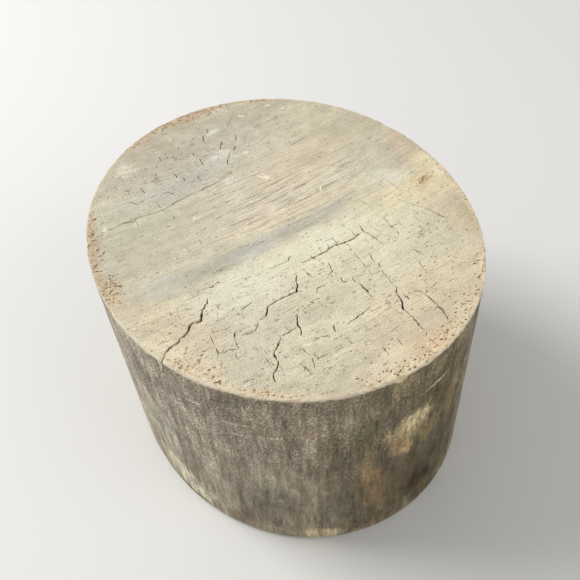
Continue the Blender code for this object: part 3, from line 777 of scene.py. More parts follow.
def pit_strokes(checks, chance):
    """The pits, some by the lips of checks, as strokes along the growth rings: (width, route)."""
    spots = list(PITS)
    for (_, _, _, _, count), (middle, reach, width) in zip(BRITTLE_RIMS, BRITTLE):
        for _ in range(count):
            arc = middle + reach * chance.triangular(-1.0, 1.0, 0.0)
            x, y, _, _ = OUTLINE.at(arc, 1.4 + width * chance.random() ** 1.4)
            spots.append((x, y, 0.4 + 1.5 * chance.random() ** 1.6))
    for x, y, half_x, half_y, count in SCATTERED_PITS:
        for _ in range(count):
            place = (x + half_x * chance.uniform(-1.0, 1.0), y + half_y * chance.uniform(-1.0, 1.0))
            if OUTLINE.holds(*place, 4.0):
                spots.append((*place, chance.uniform(*SCATTERED_PIT_LENGTHS)))
    for check in checks:
        for x, y, (side_x, side_y), half, _ in check.stations:
            if half > 0.16 and chance.random() < 0.42:
                away = (half + chance.uniform(0.45, 1.2)) * chance.choice((-1.0, 1.0))
                length = chance.uniform(*LIP_PIT_LENGTHS)
                spots.append((x + away * side_x, y + away * side_y, length))
    strokes = []
    for x, y, length in spots:
        run_x, run_y = ring_direction(x)
        lean = chance.gauss(0.0, 0.35)
        run_x, run_y = run_x - lean * run_y, run_y + lean * run_x
        half, bend = 0.5 * length, chance.uniform(-0.2, 0.2) * length
        route = [(x - half * run_x, y - half * run_y), (x - bend * run_y, y + bend * run_x),
                 (x + half * run_x, y + half * run_y)]
        width = length * chance.uniform(*PIT_WIDTHS_PER_LENGTH)
        strokes.append((min(WIDEST_PIT, width), route))
    return strokes


def apart(grooves, gap):
    """The grooves whose middle isn't too near to that of an earlier one."""
    kept, spots = [], Spots()
    for groove in grooves:
        middle = groove.stations[len(groove.stations) // 2][:2]
        if not spots.crowded(*middle, gap):
            spots.add(*middle)
            kept.append(groove)
    return kept


def crown_grooves(chance):
    """All that is cut into the crown."""
    width, route = RIM_CHECK
    checks = [check_groove(CHECK_OPENING * width, route, chance, opens_at_end=True)]
    for width, route in CHECKS + hairlines(chance):
        checks.append(check_groove(CHECK_OPENING * width, route, chance))
    nicks = [Groove("nick", width, depth, route, chance) for width, depth, route in NICKS]
    cut = GrooveField(checks + nicks)
    pits = []
    for width, route in pit_strokes(checks, chance):
        if not any(cut.at(*spot)[2] for spot in route):
            pits.append(Groove("pit", width, PIT_DEPTH_PER_WIDTH * width, route, chance))
    return checks + nicks + apart(pits, PIT_GAP)


def build_wall(shell):
    """The wall and the rounded foot. Returns the rings of points at its foot and at its rim."""
    columns = wall_columns()
    tops = [HEIGHT - arris_radius(column_place(column, HEIGHT)[0]) for column in columns]
    rows = []
    for step in range(FOOT_STEPS):
        turn = 0.5 * math.pi * step / FOOT_STEPS
        inset = FOOT_RADIUS * (1.0 - math.sin(turn))
        rows.append((inset, FOOT_RADIUS * (1.0 - math.cos(turn)), None))
    count = round((HEIGHT - FOOT_RADIUS) / ROW_STEP)
    rows += [(0.0, None, number / count) for number in range(count + 1)]
    rings = []
    for inset, height, share in rows:
        ring = []
        for column, top in zip(columns, tops):
            z = height if share is None else FOOT_RADIUS + share * (top - FOOT_RADIUS)
            arc, depth, check = column_place(column, z)
            x, y, across, along = OUTLINE.at(arc, inset + depth)
            outward = Vector((across, along, 0.5 if share == 1.0 else 0.0)).normalized()
            ring.append(shell.point(
                (x, y, z), outward, arc, check=check, rim=min(FAR_FROM_RIM, top - z), wall=1.0,
                brittle=brittleness(arc, 2.0 * (top - z))))
        rings.append(ring)
    for lower, upper in zip(rings, rings[1:]):
        shell.skin(lower, upper, on_wall=True)
    return rings[0], rings[-1]


def build_crown(shell, rim_ring):
    """The crown face, from the rim of the wall inwards."""
    chance = random.Random(CROWN_SEED)
    grooves = crown_grooves(chance)
    field = GrooveField(grooves)

    rim_arc, _ = OUTLINE.nearest(*RIM_CHECK[1][-1])
    splits = [number for number, index in enumerate(rim_ring) if shell.facts["check"][index] > 0.5]
    middle = min(splits, key=lambda number: OUTLINE.gap(shell.arcs[rim_ring[number]], rim_arc))
    lips = [Vector(shell.points[rim_ring[middle + side]][:2]) for side in (-1, 1)]
    mouth = 0.5 * (lips[0] + lips[1])
    inside = Vector(grooves[0].clear_of_rim()[-1][:2])
    x, y = mouth + RIM_SPLIT_INSET * (inside - mouth).normalized()
    shell.points[rim_ring[middle]] = (x, y, shell.points[rim_ring[middle]][2] - RIM_SPLIT_DROP)

    plan = Plan(shell, rim_ring)
    plan.groove(grooves[0], field, {0.0: middle, 1.0: middle + 1, -1.0: middle - 1})
    for groove in grooves[1:]:
        plan.groove(groove, field)
    for inset in RIM_RINGS:
        for index in rim_ring:
            x, y, _, _ = OUTLINE.at(shell.arcs[index], inset)
            if not field.at(x, y)[2] and not plan.spots.crowded(x, y, RIM_RING_GAP):
                plan.point(x, y)

    def in_band(x, y):
        return RIM_BAND_START < OUTLINE.nearest(x, y)[1] < RIM_BAND and not field.at(x, y)[2]

    def in_middle(x, y):
        return OUTLINE.nearest(x, y)[1] >= RIM_BAND and not field.at(x, y)[2]

    plan.scatter(RIM_BAND_STEP, chance, in_band)
    plan.scatter(CROWN_STEP, chance, in_middle)

    def place(x, y):
        arc, inset = OUTLINE.nearest(x, y)
        depth, shares, _ = field.at(x, y)
        z = HEIGHT - rounding(arris_radius(arc), inset) - depth
        return shell.point(
            (x, y, z), (0.0, 0.0, 1.0), arc, rim=min(FAR_FROM_RIM, inset),
            brittle=brittleness(arc, inset), **shares)

    plan.lay(place)


def screw_places():
    """Where the screws stand round the plate."""
    turns = [FIRST_TURN + 2.0 * math.pi * number / SCREW_COUNT for number in range(SCREW_COUNT)]
    return [(SCREW_REACH * math.cos(turn), SCREW_REACH * math.sin(turn)) for turn in turns]


def underside_checks(chance):
    """End-grain checks of the underside, most of them across the growth rings."""
    found = []

    def clear(spot):
        outside_plate = math.hypot(*spot) > PLATE_RADIUS + PLATE_MARGIN
        return OUTLINE.holds(*spot, UNDERSIDE_MARGIN) and outside_plate

    for _ in range(UNDERSIDE_CHECKS):
        x, y = HALF_WIDTH * chance.uniform(-0.85, 0.85), HALF_LENGTH * chance.uniform(-0.85, 0.85)
        run_x, run_y = ring_direction(x)
        if chance.random() < 0.6:
            run_x, run_y = -run_y, run_x
        route = []
        for _ in range(chance.randint(3, 7)):
            route.append((x, y))
            lean = chance.uniform(-0.25, 0.25)
            x += UNDERSIDE_CHECK_STEP * (run_x - lean * run_y)
            y += UNDERSIDE_CHECK_STEP * (run_y + lean * run_x)
        if all(clear(spot) for spot in route):
            found.append((chance.uniform(*UNDERSIDE_CHECK_WIDTHS), route))
    return found


def build_underside(shell, foot_ring):
    """The underside, with the plate's recess, the socket's bore and the holes of the screws."""
    chance = random.Random(UNDERSIDE_SEED)
    recess_radius, recess_depth = PLATE_RADIUS + GAP, PLATE_BACK + GAP
    bore_radius, bore_top = SLEEVE_RADIUS + GAP, SLEEVE_TOP + SOCKET_RELIEF
    hole_radius = SHANK_RADIUS + GAP
    screws = screw_places()

    def ring_at(points, z):
        return [shell.point((x, y, z), (0.0, 0.0, 0.0), rim=FAR_FROM_RIM) for x, y in points]

    checks = [check_groove(width, route, chance) for width, route in underside_checks(chance)]
    field = GrooveField(checks)
    plan = Plan(shell, foot_ring)
    mouth = ring_at(circle(recess_radius, RECESS_POINTS), 0.0)
    plan.ring(mouth)
    for check in checks:
        plan.groove(check, field)

    def on_base(x, y):
        outside_plate = math.hypot(x, y) > recess_radius + 1.0
        return outside_plate and OUTLINE.holds(x, y, UNDERSIDE_EDGE) and not field.at(x, y)[2]

    def base_place(x, y):
        depth, shares, _ = field.at(x, y)
        inset = min(OUTLINE.nearest(x, y)[1], math.hypot(x, y) - recess_radius)
        raised = UNDERSIDE_RISE * min(1.0, inset / UNDERSIDE_RISE_REACH)
        return shell.point((x, y, raised + depth), (0.0, 0.0, -1.0), rim=FAR_FROM_RIM, **shares)

    plan.scatter(UNDERSIDE_STEP, chance, on_base)
    plan.lay(base_place, upwards=False, voids=[((0.0, 0.0), recess_radius)])

    ledge = ring_at(circle(recess_radius, RECESS_POINTS), recess_depth)
    shell.skin(ledge, mouth)
    floor = Plan(shell, ledge)
    bore_foot = ring_at(circle(bore_radius, BORE_POINTS), recess_depth)
    floor.ring(bore_foot)
    holes = [ring_at(circle(hole_radius, HOLE_POINTS, screw), recess_depth) for screw in screws]
    for hole in holes:
        floor.ring(hole)
    voids = [((0.0, 0.0), bore_radius)] + [(screw, hole_radius) for screw in screws]
    floor.lay(lambda x, y: ring_at([(x, y)], recess_depth)[0], upwards=False, voids=voids)

    bore_roof = ring_at(circle(bore_radius, BORE_POINTS), bore_top)
    shell.skin(bore_roof, bore_foot)
    shell.face(reversed(bore_roof))
    for screw, hole in zip(screws, holes):
        end = ring_at(circle(hole_radius, HOLE_POINTS, screw), SCREW_TIP - TIP_LENGTH)
        shell.skin(end, hole)
        tip = ring_at([screw], SCREW_TIP + GAP)[0]
        for number in range(HOLE_POINTS):
            shell.face((end[(number + 1) % HOLE_POINTS], end[number], tip))


class Graph:
    """Adds nodes to one tree and joins them. Sockets and plain values may stand for each other."""

    def __init__(self, tree):
        self.tree = tree

    def put(self, value, socket):
        """Joins a socket to another, or sets its plain value."""
        if isinstance(value, bpy.types.NodeSocket):
            self.tree.links.new(value, socket)
        elif value is not None:
            socket.default_value = value

    def add(self, kind, values=(), outputs=0, **settings):
        """A new node with its inputs put and its settings set. Returns one output, or all."""
        node = self.tree.nodes.new(kind)
        for name, value in settings.items():
            setattr(node, name, value)
        for key, value in values.items() if isinstance(values, dict) else enumerate(values):
            self.put(value, node.inputs[key])
        return node.outputs if outputs is None else node.outputs[outputs]

    def math(self, operation, *values):
        return self.add("ShaderNodeMath", values, operation=operation)

    def vector(self, operation, *values):
        number = 1 if operation in ("LENGTH", "DOT_PRODUCT", "DISTANCE") else 0
        return self.add("ShaderNodeVectorMath", values, number, operation=operation)

    def scaled(self, vector, factor):
        return self.add("ShaderNodeVectorMath", {0: vector, "Scale": factor}, operation="SCALE")

    def shaded(self, colour, value, swing):
        """Lightens and darkens a colour as the value goes over and under a half."""
        change = self.math("MULTIPLY_ADD", self.math("MULTIPLY_ADD", value, 2.0, -1.0), swing, 1.0)
        changed = self.scaled(colour, change)
        return self.vector("MINIMUM", changed, (0.95, 0.95, 0.95))

    def split(self, vector):
        return self.add("ShaderNodeSeparateXYZ", [vector], None)

    def joined(self, x, y, z):
        return self.add("ShaderNodeCombineXYZ", [x, y, z])

    def turned(self, vector, angle):
        values = {"Vector": vector, "Angle": angle}
        return self.add("ShaderNodeVectorRotate", values, rotation_type="Z_AXIS")

    def noise(self, vector, scale, detail=2.0, roughness=0.5, output=0):
        values = {"Vector": vector, "Scale": scale, "Detail": detail, "Roughness": roughness}
        return self.add("ShaderNodeTexNoise", values, output)

    def between(self, value, low, high, to_low=0.0, to_high=1.0):
        """A soft step from one value to the other as the first goes from low to high."""
        values = [value, low, high, to_low, to_high]
        return self.add("ShaderNodeMapRange", values, interpolation_type="SMOOTHSTEP")

    def mix(self, factor, first, second):
        values = {0: factor, 6: first, 7: second}
        return self.add("ShaderNodeMix", values, 2, data_type="RGBA", clamp_factor=True)

    def laid(self, colour, mask, strength, shade):
        """Lays a shade over a colour where the mask is, at most that strongly."""
        return self.mix(self.math("MULTIPLY", mask, strength), colour, shade)

    def weighed(self, *parts):
        """The sum of some values, each times its own weight."""
        terms = [self.math("MULTIPLY", value, weight) for value, weight in parts]
        total = terms[0]
        for term in terms[1:]:
            total = self.math("ADD", total, term)
        return total

    def bumped(self, height, strength, distance):
        """The normal of a surface with that relief, whose distance is in millimetres."""
        return self.add("ShaderNodeBump", {
            "Strength": strength, "Distance": distance * MM, "Height": height})

    def group(self, tree, **values):
        """The outputs of a shader group whose named inputs get these values."""
        node = self.tree.nodes.new("ShaderNodeGroup")
        node.node_tree = tree
        for name, value in values.items():
            self.put(value, node.inputs[name.replace("_", " ").capitalize()])
        return node.outputs


def new_tree(name, kind, inputs, outputs):
    """An empty group with named inputs, each with its default, and named outputs."""
    tree = bpy.data.node_groups.new(name, kind)
    for label, socket, default in inputs:
        made = tree.interface.new_socket(label, in_out="INPUT", socket_type="NodeSocket" + socket)
        if default is not None:
            made.default_value = default
    for label, socket in outputs:
        tree.interface.new_socket(label, in_out="OUTPUT", socket_type="NodeSocket" + socket)
    start = tree.nodes.new("NodeGroupInput").outputs
    end = tree.nodes.new("NodeGroupOutput").inputs
    return tree, Graph(tree), start, end


def ring_place(graph, place):
    """Coordinates that follow the growth rings: along them, across them and up the fibre."""
    x, y, z = graph.split(place)
    slope = graph.math("MULTIPLY_ADD", x, RING_BEND / MM, RING_SLOPE)
    across = graph.math("SUBTRACT", y, graph.math("MULTIPLY", x, slope))
    return graph.joined(x, across, z)


def weathering_tree():
    """Wears the block's faces: broad unevenness, raised grain, rasp marks and the crumbled rim."""
    tree, graph, start, end = new_tree("weathering", "GeometryNodeTree", [
        ("Geometry", "Geometry", None),
        ("Unevenness", "Float", 0.25 * MM),
        ("Grain Relief", "Float", 0.09 * MM),
        ("Rasp Depth", "Float", 0.22 * MM),
        ("Crumble Depth", "Float", 0.4 * MM),
        ("Hollow Depth", "Float", 1.0 * MM),
        ("Hollow Place", "Vector", (0.0, 0.0, 0.0)),
        ("Seed", "Float", 3.0),
        ("End Grain", "Material", None),
        ("Long Grain", "Material", None),
    ], [("Geometry", "Geometry")])

    def fact(name, kind="FLOAT"):
        return graph.add("GeometryNodeInputNamedAttribute", {"Name": name}, data_type=kind)

    def swing(vector, scale, detail=2.0):
        return graph.math("MULTIPLY_ADD", graph.noise(vector, scale, detail), 2.0, -1.0)

    place = graph.add("GeometryNodeInputPosition")
    shifted = graph.vector("ADD", place, graph.joined(start["Seed"], 0.0, 0.0))
    wall = fact("wall")
    crown = graph.math("SUBTRACT", 1.0, wall)

    swell = graph.math("MULTIPLY", swing(shifted, 28.0), start["Unevenness"])
    rings = graph.vector("MULTIPLY", ring_place(graph, shifted), (0.14, 1.0, 1.0))
    ridges = graph.math("MULTIPLY", swing(rings, 320.0), crown)
    fibres = graph.vector("MULTIPLY", shifted, (1.0, 1.0, 0.18))
    streaks = graph.math("MULTIPLY", swing(fibres, 300.0), wall)
    relief = graph.math("MULTIPLY", graph.math("ADD", ridges, streaks), start["Grain Relief"])
    facets = graph.noise(graph.vector("MULTIPLY", shifted, (1.0, 1.0, 0.6)), 190.0)
    rasped = graph.math("MULTIPLY", graph.math("MULTIPLY", facets, wall), start["Rasp Depth"])

    lumps = graph.between(graph.noise(shifted, 900.0, 3.0, 0.65), 0.45, 0.62)
    brittle = graph.between(fact("brittle"), 0.05, 0.6)
    solid_wood = graph.between(fact("check"), 0.3, 0.0)
    crumbled = graph.math("MULTIPLY", lumps, graph.math("MULTIPLY", brittle, solid_wood))
    wall_share = graph.math("MULTIPLY_ADD", wall, -0.7, 1.0)
    loss = graph.math("MULTIPLY", crumbled, wall_share)
    loss = graph.math("MULTIPLY", loss, start["Crumble Depth"])

    away = graph.vector("SUBTRACT", place, start["Hollow Place"])
    reach = graph.vector("LENGTH", graph.vector("MULTIPLY", away, (90.0, 90.0, 75.0)))
    hollow = graph.math("MULTIPLY", graph.between(reach, 1.0, 0.2), start["Hollow Depth"])

    rise = graph.math("ADD", swell, relief)
    drop = graph.math("ADD", graph.math("ADD", rasped, loss), hollow)
    outward = fact("outward", "FLOAT_VECTOR")
    move = graph.scaled(outward, graph.math("SUBTRACT", rise, drop))
    worn = graph.add("GeometryNodeSetPosition", {"Geometry": start["Geometry"], "Offset": move})
    noted = graph.add("GeometryNodeStoreNamedAttribute", {
        "Geometry": worn, "Name": "crumbled", "Value": crumbled}, data_type="FLOAT", domain="POINT")
    whole = graph.add("GeometryNodeRealizeInstances", [noted])
    ends = graph.add("GeometryNodeSetMaterial", {"Geometry": whole, "Material": start["End Grain"]})
    side = graph.math("GREATER_THAN", fact("side"), 0.5)
    graph.put(graph.add("GeometryNodeSetMaterial", {
        "Geometry": ends, "Selection": side, "Material": start["Long Grain"]}), end["Geometry"])
    return tree


def screw_ring_tree():
    """Sets copies of one screw round a circle, each with its slot turned further than the last."""
    tree, graph, start, end = new_tree("screw_ring", "GeometryNodeTree", [
        ("Geometry", "Geometry", None),
        ("Count", "Int", SCREW_COUNT),
        ("Reach", "Float", SCREW_REACH * MM),
        ("Height", "Float", SCREW_FACE * MM),
        ("First Turn", "Float", FIRST_TURN),
        ("Slot Turn", "Float", SLOT_TURN),
        ("Finish", "Material", None),
    ], [("Geometry", "Geometry")])
    number = graph.add("GeometryNodeInputIndex")
    step = graph.math("DIVIDE", 2.0 * math.pi, start["Count"])
    turn = graph.math("ADD", graph.math("MULTIPLY", number, step), start["First Turn"])
    across = graph.math("MULTIPLY", graph.math("COSINE", turn), start["Reach"])
    along = graph.math("MULTIPLY", graph.math("SINE", turn), start["Reach"])
    points = graph.add("GeometryNodePoints", {
        "Count": start["Count"], "Position": graph.joined(across, along, start["Height"])})
    slot = graph.math("MULTIPLY", graph.math("ADD", number, 1.0), start["Slot Turn"])
    facing = graph.add("FunctionNodeAxisAngleToRotation", {"Axis": (0.0, 0.0, 1.0), "Angle": slot})
    placed = graph.add("GeometryNodeInstanceOnPoints", {
        "Points": points, "Instance": start["Geometry"], "Rotation": facing})
    whole = graph.add("GeometryNodeRealizeInstances", [placed])
    graph.put(graph.add("GeometryNodeSetMaterial", {
        "Geometry": whole, "Material": start["Finish"]}), end["Geometry"])
    return tree


def plain(piece):
    """Keeps what a piece's modifiers make of it as its plain mesh."""
    bpy.context.view_layer.update()
    seen = piece.evaluated_get(bpy.context.evaluated_depsgraph_get())
    mesh = bpy.data.meshes.new_from_object(seen)
    piece.modifiers.clear()
    piece.data = mesh
    return piece


def run_tree(piece, tree, **values):
    """Runs a geometry tree on a piece, with its named inputs set before the first evaluation."""
    modifier = piece.modifiers.new(tree.name, "NODES")
    modifier.node_group = tree
    inputs = [item for item in tree.interface.items_tree if item.in_out == "INPUT"]
    named = {item.name: item.identifier for item in inputs}
    for name, value in values.items():
        modifier[named[name.replace("_", " ").title()]] = value
    return plain(piece)


def tint(red, green, blue):
    """A colour as the screen shows it, from 0 to 255, in the linear values of a shader."""
    def linear(value):
        share = value / 255.0
        return share / 12.92 if share <= 0.04045 else ((share + 0.055) / 1.055) ** 2.4
    return (linear(red), linear(green), linear(blue), 1.0)


def attribute(graph, name):
    """What the mesh knows under that name."""
    return graph.add("ShaderNodeAttribute", (), 2, attribute_name=name)


def object_place(graph):
    """The place in the piece's own coordinates."""
    return graph.add("ShaderNodeTexCoord", (), 3)


def build_stain_group():
    """The soft, ragged mask of a stain: a turned oval in the plane of its first two coordinates."""
    tree, graph, start, end = new_tree("stain", "ShaderNodeTree", [
        ("Place", "Vector", None), ("Centre", "Vector", None), ("Half size", "Vector", None),
        ("Turn", "Float", 0.0), ("Softness", "Float", 0.4), ("Ragged", "Float", 0.0)],
        [("Mask", "Float")])
    moved = graph.turned(graph.vector("SUBTRACT", start["Place"], start["Centre"]), start["Turn"])
    flat = graph.vector("MULTIPLY", moved, (1.0, 1.0, 0.0))
    reach = graph.vector("LENGTH", graph.vector("DIVIDE", flat, start["Half size"]))
    ragged = graph.math("ADD", reach, start["Ragged"])
    outer = graph.math("ADD", 1.0, start["Softness"])
    inner = graph.math("SUBTRACT", 1.0, start["Softness"])
    graph.put(graph.between(ragged, outer, inner), end["Mask"])
    return tree


def build_lines_group():
    """Grain lines: noise drawn out along one coordinate, at three widths."""
    tree, graph, start, end = new_tree("grain_lines", "ShaderNodeTree", [
        ("Place", "Vector", None), ("Stretch", "Vector", (0.05, 1.0, 1.0)),
        ("Fine", "Float", 1100.0), ("Coarse", "Float", 380.0), ("Broad", "Float", 90.0)],
        [("Fine", "Float"), ("Coarse", "Float"), ("Broad", "Float")])
    drawn = graph.vector("MULTIPLY", start["Place"], start["Stretch"])
    for name, detail in (("Fine", 2.0), ("Coarse", 3.0), ("Broad", 3.0)):
        graph.put(graph.noise(drawn, start[name], detail, 0.6), end[name])
    return tree


def build_flecks_group():
    """Scattered flecks or pores: some cells of a shaken pattern hold one, the others none."""
    tree, graph, start, end = new_tree("flecks", "ShaderNodeTree", [
        ("Place", "Vector", None), ("Scale", "Float", 500.0), ("Share", "Float", 0.3),
        ("Size", "Float", 0.25)], [("Mask", "Float")])
    finer = graph.math("MULTIPLY", start["Scale"], 1.7)
    wobble = graph.noise(start["Place"], finer, 2.0, 0.6, output=1)
    wobble = graph.vector("SUBTRACT", wobble, (0.5, 0.5, 0.5))
    wobble = graph.scaled(wobble, graph.math("DIVIDE", 1.1, start["Scale"]))
    shaken = graph.vector("ADD", start["Place"], wobble)
    cells = graph.add("ShaderNodeTexVoronoi", {"Vector": shaken, "Scale": start["Scale"]}, None)
    pick, size, _ = graph.add("ShaderNodeSeparateColor", [cells["Color"]], None)
    radius = graph.math("MULTIPLY", start["Size"], graph.math("MULTIPLY_ADD", size, 1.2, 0.4))
    spot = graph.between(cells["Distance"], radius, graph.math("MULTIPLY", radius, 0.4))
    picked = graph.math("LESS_THAN", pick, start["Share"])
    graph.put(graph.math("MULTIPLY", spot, picked), end["Mask"])
    return tree


def build_grime_and_shade_group():
    """Where checks and pits hold grime and painted shade, and where the wood is crumbled."""
    tree, graph, start, end = new_tree(
        "grime_and_shade", "ShaderNodeTree", [("Lip", "Float", 0.03), ("Bed", "Float", 0.4)],
        [("Check", "Float"), ("Pit", "Float"), ("Crumbled", "Float")])
    graph.put(graph.between(attribute(graph, "check"), start["Lip"], start["Bed"]), end["Check"])
    graph.put(graph.between(attribute(graph, "pit"), start["Lip"], start["Bed"]), end["Pit"])
    graph.put(graph.between(attribute(graph, "crumbled"), 0.15, 0.9), end["Crumbled"])
    return tree


def build_worn_edge_and_highlight_group():
    """The chipped, pale line along the rim: partly wear, partly a painted highlight."""
    tree, graph, start, end = new_tree("worn_edge_and_highlight", "ShaderNodeTree", [
        ("Place", "Vector", None), ("Reach", "Float", 3.0)], [("Mask", "Float")])
    chipped = graph.noise(start["Place"], 260.0, 4.0, 0.7)
    chipped = graph.math("MULTIPLY_ADD", chipped, 4.0, attribute(graph, "rim"))
    inner = graph.math("SUBTRACT", start["Reach"], 1.0)
    graph.put(graph.between(chipped, start["Reach"], inner), end["Mask"])
    return tree


def build_rust_group():
    """Old metal: its dull patches and grit, its rust, and the marks of turning round its axis."""
    tree, graph, start, end = new_tree("rust", "ShaderNodeTree", [
        ("Place", "Vector", None), ("Share", "Float", 0.3)],
        [("Dull", "Float"), ("Grit", "Float"), ("Rust", "Float"), ("Turning", "Float")])
    dull = graph.noise(start["Place"], 120.0, 4.0, 0.6)
    grit = graph.noise(start["Place"], 900.0, 4.0, 0.7)
    low = graph.math("SUBTRACT", 0.95, start["Share"])
    high = graph.math("SUBTRACT", 1.08, start["Share"])
    rust = graph.between(graph.math("MULTIPLY_ADD", grit, 0.35, dull), low, high)
    x, y, z = graph.split(start["Place"])
    from_axis = graph.vector("LENGTH", graph.joined(x, y, 0.0))
    turning = graph.noise(graph.joined(from_axis, 0.0, z), 2600.0, 2.0)
    for name, value in (("Dull", dull), ("Grit", grit), ("Rust", rust), ("Turning", turning)):
        graph.put(value, end[name])
    return tree


STAIN = build_stain_group()
LINES = build_lines_group()
FLECKS = build_flecks_group()
GRIME_AND_SHADE = build_grime_and_shade_group()
WORN_EDGE_AND_HIGHLIGHT = build_worn_edge_and_highlight_group()
RUST = build_rust_group()

# Stains of the crown: (centre, half size, turn in degrees, softness, strength, colour on screen)
CROWN_STAINS = [
    ((12.0, -22.0), (70.0, 58.0), 0.0, 0.6, 0.40, (238, 230, 206)),
    ((-58.0, 22.0), (34.0, 30.0), 0.0, 0.6, 0.45, (192, 190, 170)),
    ((-40.0, 66.0), (24.0, 18.0), 20.0, 0.6, 0.65, (176, 166, 148)),
    ((-30.0, 44.0), (30.0, 9.0), 8.0, 0.5, 0.60, (190, 190, 176)),
    ((22.0, 82.0), (26.0, 9.0), 8.0, 0.6, 0.40, (190, 180, 158)),
    ((4.0, 75.0), (20.0, 16.0), 0.0, 0.7, 0.35, (180, 174, 156)),
    ((18.0, 27.0), (40.0, 20.0), 8.0, 0.6, 0.55, (224, 208, 178)),
    ((-25.0, 5.0), (36.0, 12.0), 5.0, 0.7, 0.40, (206, 188, 164)),
    ((10.0, 0.5), (30.0, 3.6), 8.0, 0.5, 0.60, (230, 212, 174)),
    ((62.0, 18.0), (18.0, 14.0), 15.0, 0.7, 0.40, (192, 188, 172)),
    ((-7.0, -12.2), (42.0, 4.6), 8.5, 0.7, 0.56, (178, 177, 164)),
    ((-26.0, -12.5), (14.0, 4.0), 6.0, 0.7, 0.30, (160, 160, 152)),
    ((-50.0, -16.5), (20.0, 5.5), 2.0, 0.7, 0.70, (178, 176, 157)),
    ((6.0, -10.6), (16.0, 3.0), 9.0, 0.6, 0.30, (164, 162, 150)),
    ((10.0, -24.0), (62.0, 8.5), 6.0, 0.6, 0.78, (241, 234, 204)),
    ((-20.0, -34.0), (40.0, 9.0), 4.0, 0.7, 0.66, (239, 233, 208)),
    ((60.0, -12.0), (26.0, 9.0), 9.0, 0.6, 0.70, (240, 226, 186)),
    ((57.0, 0.5), (6.5, 5.0), -35.0, 0.4, 0.55, (226, 224, 210)),
    ((30.0, -50.0), (36.0, 22.0), 0.0, 0.7, 0.50, (235, 226, 197)),
    ((-16.0, -57.0), (19.0, 8.0), 6.0, 0.6, 0.42, (202, 196, 175)),
    ((-38.0, -68.0), (12.0, 9.0), -30.0, 0.5, 0.45, (200, 196, 174)),
    ((50.0, -44.0), (16.0, 7.0), 12.0, 0.5, 0.35, (208, 200, 176)),
    ((34.0, -76.0), (34.0, 14.0), 20.0, 0.6, 0.50, (227, 207, 179)),
    ((72.0, -30.0), (12.0, 22.0), 0.0, 0.6, 0.35, (210, 190, 160)),
    ((77.0, 16.0), (8.0, 20.0), 0.0, 0.7, 0.50, (204, 182, 154)),
    ((-60.0, -40.0), (12.0, 22.0), 30.0, 0.6, 0.45, (222, 202, 160)),
    ((-50.0, 67.0), (4.0, 3.6), 0.0, 0.6, 0.60, (214, 208, 182)),
    ((79.0, -4.0), (8.0, 13.0), 0.0, 0.6, 0.65, (242, 226, 186)),
    ((69.5, -9.5), (6.0, 4.5), 30.0, 0.7, 0.30, (222, 196, 148)),
    ((-70.0, -44.0), (6.0, 11.0), 38.0, 0.6, 0.60, (242, 228, 192)),
    ((32.0, -58.0), (50.0, 38.0), 0.0, 0.6, 0.07, (226, 204, 120)),
    ((-48.0, -42.0), (26.0, 22.0), 30.0, 0.7, 0.14, (226, 224, 222)),
    ((-2.0, 75.6), (3.4, 1.5), 10.0, 0.4, 0.60, (246, 243, 232)),
    ((-4.0, 56.0), (5.5, 2.6), 15.0, 0.6, 0.50, (244, 242, 230)),
    ((6.4, 51.0), (1.6, 1.4), 0.0, 0.4, 0.65, (246, 242, 226)),
    ((-50.0, 68.0), (4.2, 4.0), 0.0, 0.8, 0.45, (236, 232, 212)),
    ((-8.4, 36.0), (4.0, 2.0), 5.0, 0.8, 0.45, (232, 234, 224)),
    ((-32.0, 18.0), (3.0, 2.0), 0.0, 0.8, 0.40, (234, 232, 218)),
    ((-71.0, 30.0), (1.2, 1.0), 0.0, 0.4, 0.65, (240, 238, 226)),
    ((70.0, -9.0), (2.4, 1.5), 20.0, 0.8, 0.55, (166, 134, 84)),
    ((-4.0, 52.0), (30.0, 30.0), 0.0, 0.7, 0.10, (200, 200, 215)),
    ((0.0, 8.0), (38.0, 15.0), 8.0, 0.6, 0.28, (248, 240, 220)),
    ((-20.0, -70.0), (30.0, 12.0), 0.0, 0.8, 0.26, (252, 240, 208)),
    ((-52.0, 58.0), (17.0, 20.0), 0.0, 0.7, 0.22, (240, 232, 214)),
    ((58.0, 45.0), (14.0, 9.0), 0.0, 0.7, 0.38, (174, 162, 140)),
    ((-12.0, 89.0), (12.0, 5.0), 0.0, 0.6, 0.40, (168, 154, 134)),
    ((76.0, -44.0), (7.0, 14.0), 0.0, 0.6, 0.42, (190, 170, 138)),
    ((-60.0, -15.0), (11.0, 6.0), 0.0, 0.7, 0.35, (228, 226, 214)),
    ((-20.0, -14.0), (12.0, 5.0), 8.0, 0.7, 0.30, (206, 206, 196)),
    ((36.0, -37.0), (13.0, 14.0), 0.0, 0.8, 0.24, (252, 244, 220)),
    ((10.0, -22.0), (14.0, 6.0), 8.0, 0.7, 0.35, (252, 246, 222)),
    ((-80.0, 8.0), (5.0, 28.0), 0.0, 0.6, 0.40, (206, 197, 180)),
    ((6.0, -94.0), (9.0, 5.0), 0.0, 0.6, 0.45, (246, 232, 204)),
    ((20.0, -92.0), (11.0, 5.0), 8.0, 0.6, 0.60, (238, 204, 166)),
    ((57.0, 0.0), (8.0, 5.0), 10.0, 0.7, 0.35, (240, 228, 200)),
    ((82.0, -5.0), (4.0, 10.0), 0.0, 0.6, 0.45, (250, 238, 208)),
    ((2.0, -98.8), (2.6, 1.6), 0.0, 0.4, 0.80, (240, 230, 196)),
]
